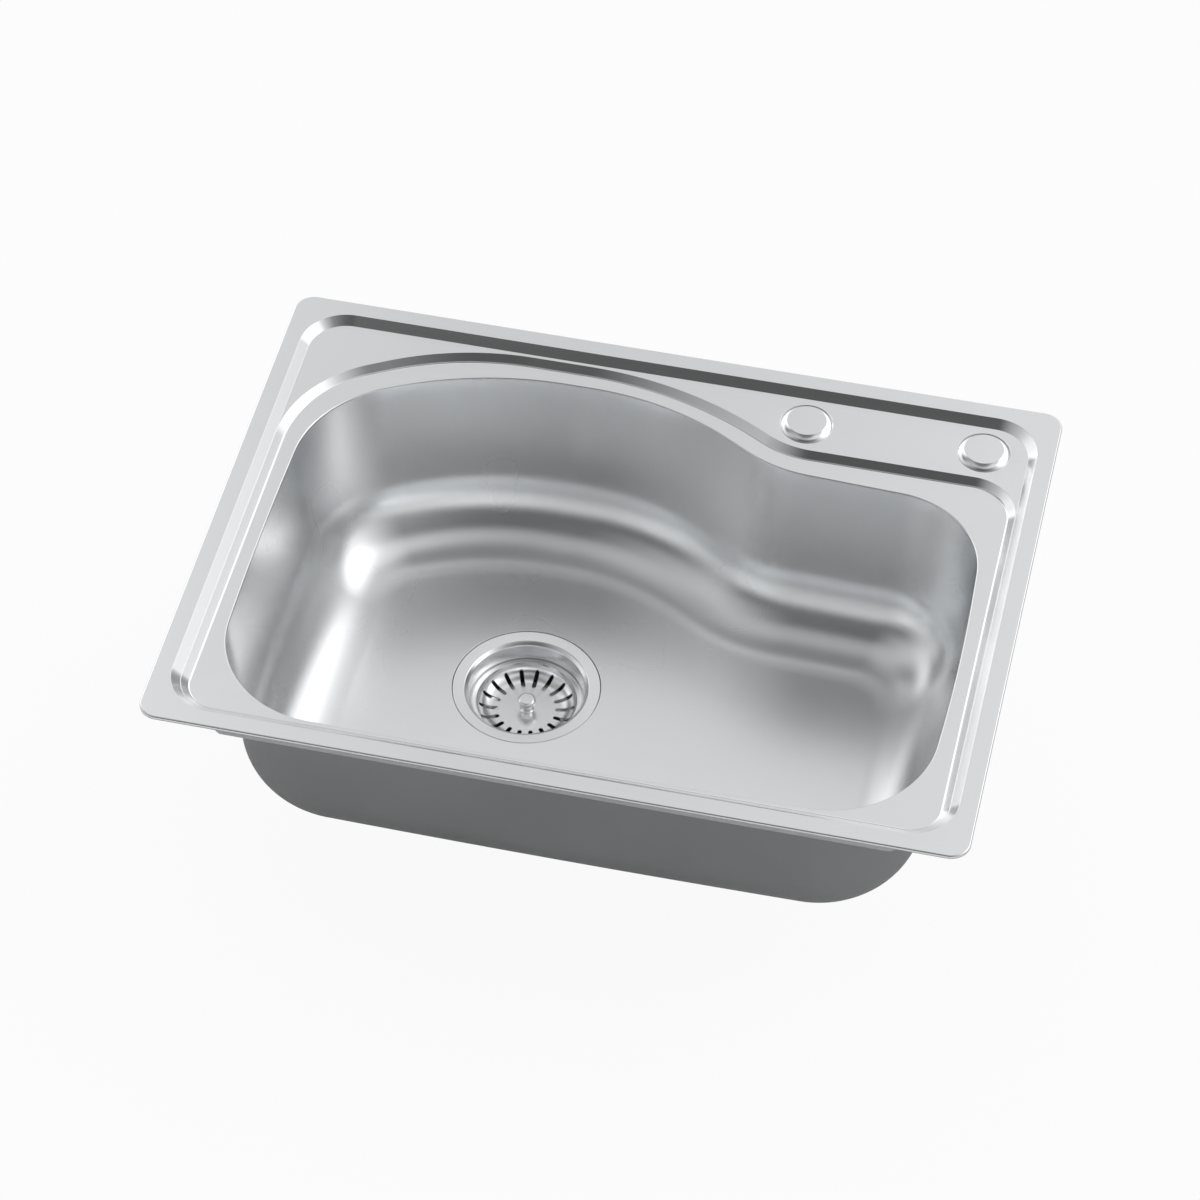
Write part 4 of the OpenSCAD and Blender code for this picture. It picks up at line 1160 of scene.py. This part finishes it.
class SINK_OT_fixings(bpy.types.Operator):
    """Finishes the rails, brackets and claws and cuts the clip screws' threads"""

    bl_idname = "sink.fixings"
    bl_label = "Fixings"

    def execute(self, context):
        zinc = finish_named("zinc_plate")
        for node in ("front_rail", "back_rail", "clip_brackets"):
            paint(node, "galvanised_sheet")
        pitch = context.scene.sink_sizes.thread_pitch
        for place, spot in SCREWS.items():
            paint("clip_claw_" + place, "galvanised_sheet")
            name = "clip_screw_" + place
            made = clip_screw(name, spot, pitch, zinc)
            add(name + "_skin", made, zinc, place + "_screw", [name])
        return {"FINISHED"}


class SINK_OT_seals(bpy.types.Operator):
    """Finishes the rim's rubber strip and the damping pad"""

    bl_idname = "sink.seals"
    bl_label = "Seals"

    def execute(self, context):
        paint("rim_seal", "strip_rubber")
        paint("damping_pad", "damping_sheet")
        return {"FINISHED"}


class SINK_OT_stage(bpy.types.Operator):
    """Sets the floor, the soft studio light and the camera"""

    bl_idname = "sink.stage"
    bl_label = "Stage"

    def execute(self, context):
        floor = Shell()
        edge = floor.ring(circle((0, 0), STAGE_R, 96), STAGE_Z)
        floor.faces.append(tuple(edge))
        plane = placed("floor", floor.mesh("floor"))
        material, t = new_material("pale_floor")
        seen = t.number(t.node("ShaderNodeLightPath").outputs["Is Camera Ray"])
        plain = t.node("ShaderNodeBsdfDiffuse", {}, {"Color": (0.8, 0.8, 0.8), "Roughness": 0.5})
        bright = t.node("ShaderNodeEmission", {}, {"Color": (1.0, 1.0, 1.0), "Strength": 1.0})
        mixed = {0: seen * STAGE_GLOW, 1: plain.outputs[0], 2: bright.outputs[0]}
        shown = t.node("ShaderNodeMixShader", {}, mixed)
        t.node("ShaderNodeOutputMaterial", {}, {"Surface": shown.outputs[0]})
        plane.data.materials.append(material)
        light_the_room(context.scene)
        place_camera(context.scene)
        context.scene.view_settings.view_transform = "Standard"
        return {"FINISHED"}


# Radius and level of the floor, and how bright the camera sees it against the background
STAGE_R, STAGE_Z, STAGE_GLOW = 9000, -287.0, 0.93

# Light of the room in five bands, lowest first: the height angle at which a band starts, then its
# level at each compass angle, from the front (-165) over the left to the back (-15 and 15) and
# over the right to the front again
COMPASS = (-165, -135, -105, -75, -45, -15, 15, 45, 75, 105, 135, 165)
BANDS = (
    (-90, (0.33, 0.35, 0.41, 0.69, 1.75, 0.64, 0.39, 0.23, 0.51, 0.57, 0.64, 0.46)),
    (15, (0.08, 0.11, 0.74, 1.10, 1.61, 0.74, 1.79, 1.20, 1.70, 0.87, 0.39, 0.08)),
    (34, (0.16, 0.42, 0.66, 0.18, 1.47, 0.64, 1.10, 2.12, 2.25, 0.78, 0.29, 0.17)),
    (43, (0.06, 0.40, 0.64, 0.14, 1.47, 0.64, 1.10, 2.12, 2.25, 0.74, 0.20, 0.06)),
    (55, (0.42, 0.55, 0.52, 0.40, 0.17, 0.97, 0.74, 0.57, 0.83, 0.87, 0.72, 0.52)),
)
# Bands blend into each other over this angle to both sides
BAND_BLEND = 4
# Level overhead, and the height angles over which it sets in
ZENITH = 0.18
ZENITH_FROM, ZENITH_TO = 70, 80
# Colour ramps stay under 1, so they hold the levels divided by this
RAMP_TOP = 3.0
# Lamp overhead that lights what isn't shiny: side and height in metres, and watts
PANEL_SIZE, PANEL_Z, PANEL_POWER = 3.0, 3.0, 27.0

# Camera: lens in millimetres, place in metres and the ways to its right, down and ahead
LENS = 132.382
CAMERA_PLACE = (0.479911, -2.189309, 2.414618)
CAMERA_RIGHT = Vector((0.975281, 0.220957, 0.002096))
CAMERA_DOWN = Vector((0.164585, -0.720066, -0.674104))
CAMERA_AHEAD = Vector((-0.147439, 0.657786, -0.738633))


def compass(t, turn, levels):
    """A value that follows the levels of one band around the room."""
    between = (levels[0] + levels[-1]) / 2
    table = [(-180, between)] + list(zip(COMPASS, levels)) + [(180, between)]
    stops = [((angle + 180) / 360, (value / RAMP_TOP,) * 3) for angle, value in table]
    ramp = t.node("ShaderNodeValToRGB", {"stops": stops}, {"Fac": turn})
    return t.number(ramp.outputs["Color"]) * RAMP_TOP


def light_the_room(scene):
    """Soft walls of light, dim towards the camera, under a dark zenith. The camera sees white."""
    world = bpy.data.worlds.new("studio")
    scene.world = world
    world.use_nodes = True
    world.node_tree.nodes.clear()
    t = Tree(world.node_tree)
    ray = t.node("ShaderNodeTexCoord").outputs["Generated"]
    way = t.node("ShaderNodeSeparateXYZ", {}, {0: ray})
    x, y, z = (t.number(way.outputs[i]) for i in range(3))
    turn = x.math("ARCTAN2", y) / math.tau + 0.5
    height = z.math("ARCSINE") * (180 / math.pi)
    level = compass(t, turn, BANDS[0][1])
    for start, levels in BANDS[1:]:
        above = height.ramp(start - BAND_BLEND, start + BAND_BLEND)
        level = level * (1 - above) + compass(t, turn, levels) * above
    zenith = height.ramp(ZENITH_FROM, ZENITH_TO)
    level = level * (1 - zenith) + zenith * ZENITH
    seen = t.number(t.node("ShaderNodeLightPath").outputs["Is Camera Ray"])
    shade = level * (1 - seen) + seen
    light = t.node("ShaderNodeBackground", {}, {"Color": (1.0, 1.0, 1.0), "Strength": shade})
    t.node("ShaderNodeOutputWorld", {}, {"Surface": light.outputs[0]})
    lamp = bpy.data.lights.new("ceiling_panel", "AREA")
    lamp.shape = "SQUARE"
    lamp.size = PANEL_SIZE
    lamp.energy = PANEL_POWER
    panel = placed("ceiling_panel", lamp)
    panel.location = (0.0, 0.0, PANEL_Z)
    panel.visible_glossy = False


def place_camera(scene):
    data = bpy.data.cameras.new("camera")
    data.sensor_width = 36.0
    data.lens = LENS
    data.clip_end = 100.0
    camera = placed("camera", data)
    turn = Matrix((CAMERA_RIGHT, -CAMERA_DOWN, -CAMERA_AHEAD)).transposed().to_4x4()
    camera.matrix_world = Matrix.Translation(CAMERA_PLACE) @ turn
    scene.camera = camera


class SINK_PT_panel(bpy.types.Panel):
    """Lists the sink's pieces in the order in which they are made"""

    bl_idname = "SINK_PT_panel"
    bl_label = "Kitchen Sink"
    bl_space_type = "VIEW_3D"
    bl_region_type = "UI"
    bl_category = "Sink"

    def draw(self, context):
        column = self.layout.column()
        for group in (context.scene.sink_sizes, context.scene.sink_finish):
            for name in group.__annotations__:
                column.prop(group, name)
        for operator in OPERATORS:
            column.operator(operator.bl_idname)


OPERATORS = (
    SINK_OT_stage,
    SINK_OT_deck,
    SINK_OT_bowl,
    SINK_OT_covers,
    SINK_OT_strainer,
    SINK_OT_basket,
    SINK_OT_stopper,
    SINK_OT_outlet,
    SINK_OT_fixings,
    SINK_OT_seals,
)
CLASSES = (SinkSizes, SinkFinish) + OPERATORS + (SINK_PT_panel,)


def register():
    for cls in CLASSES:
        bpy.utils.register_class(cls)
    bpy.types.Scene.sink_sizes = PointerProperty(type=SinkSizes)
    bpy.types.Scene.sink_finish = PointerProperty(type=SinkFinish)


def unregister():
    del bpy.types.Scene.sink_finish
    del bpy.types.Scene.sink_sizes
    for cls in reversed(CLASSES):
        bpy.utils.unregister_class(cls)


def main():
    register()
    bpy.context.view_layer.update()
    bpy.ops.sink.stage()
    bpy.ops.sink.deck()
    bpy.ops.sink.bowl()
    bpy.ops.sink.covers()
    bpy.ops.sink.strainer()
    bpy.ops.sink.basket()
    bpy.ops.sink.stopper()
    bpy.ops.sink.outlet()
    bpy.ops.sink.fixings()
    bpy.ops.sink.seals()


if __name__ == "__main__":
    main()
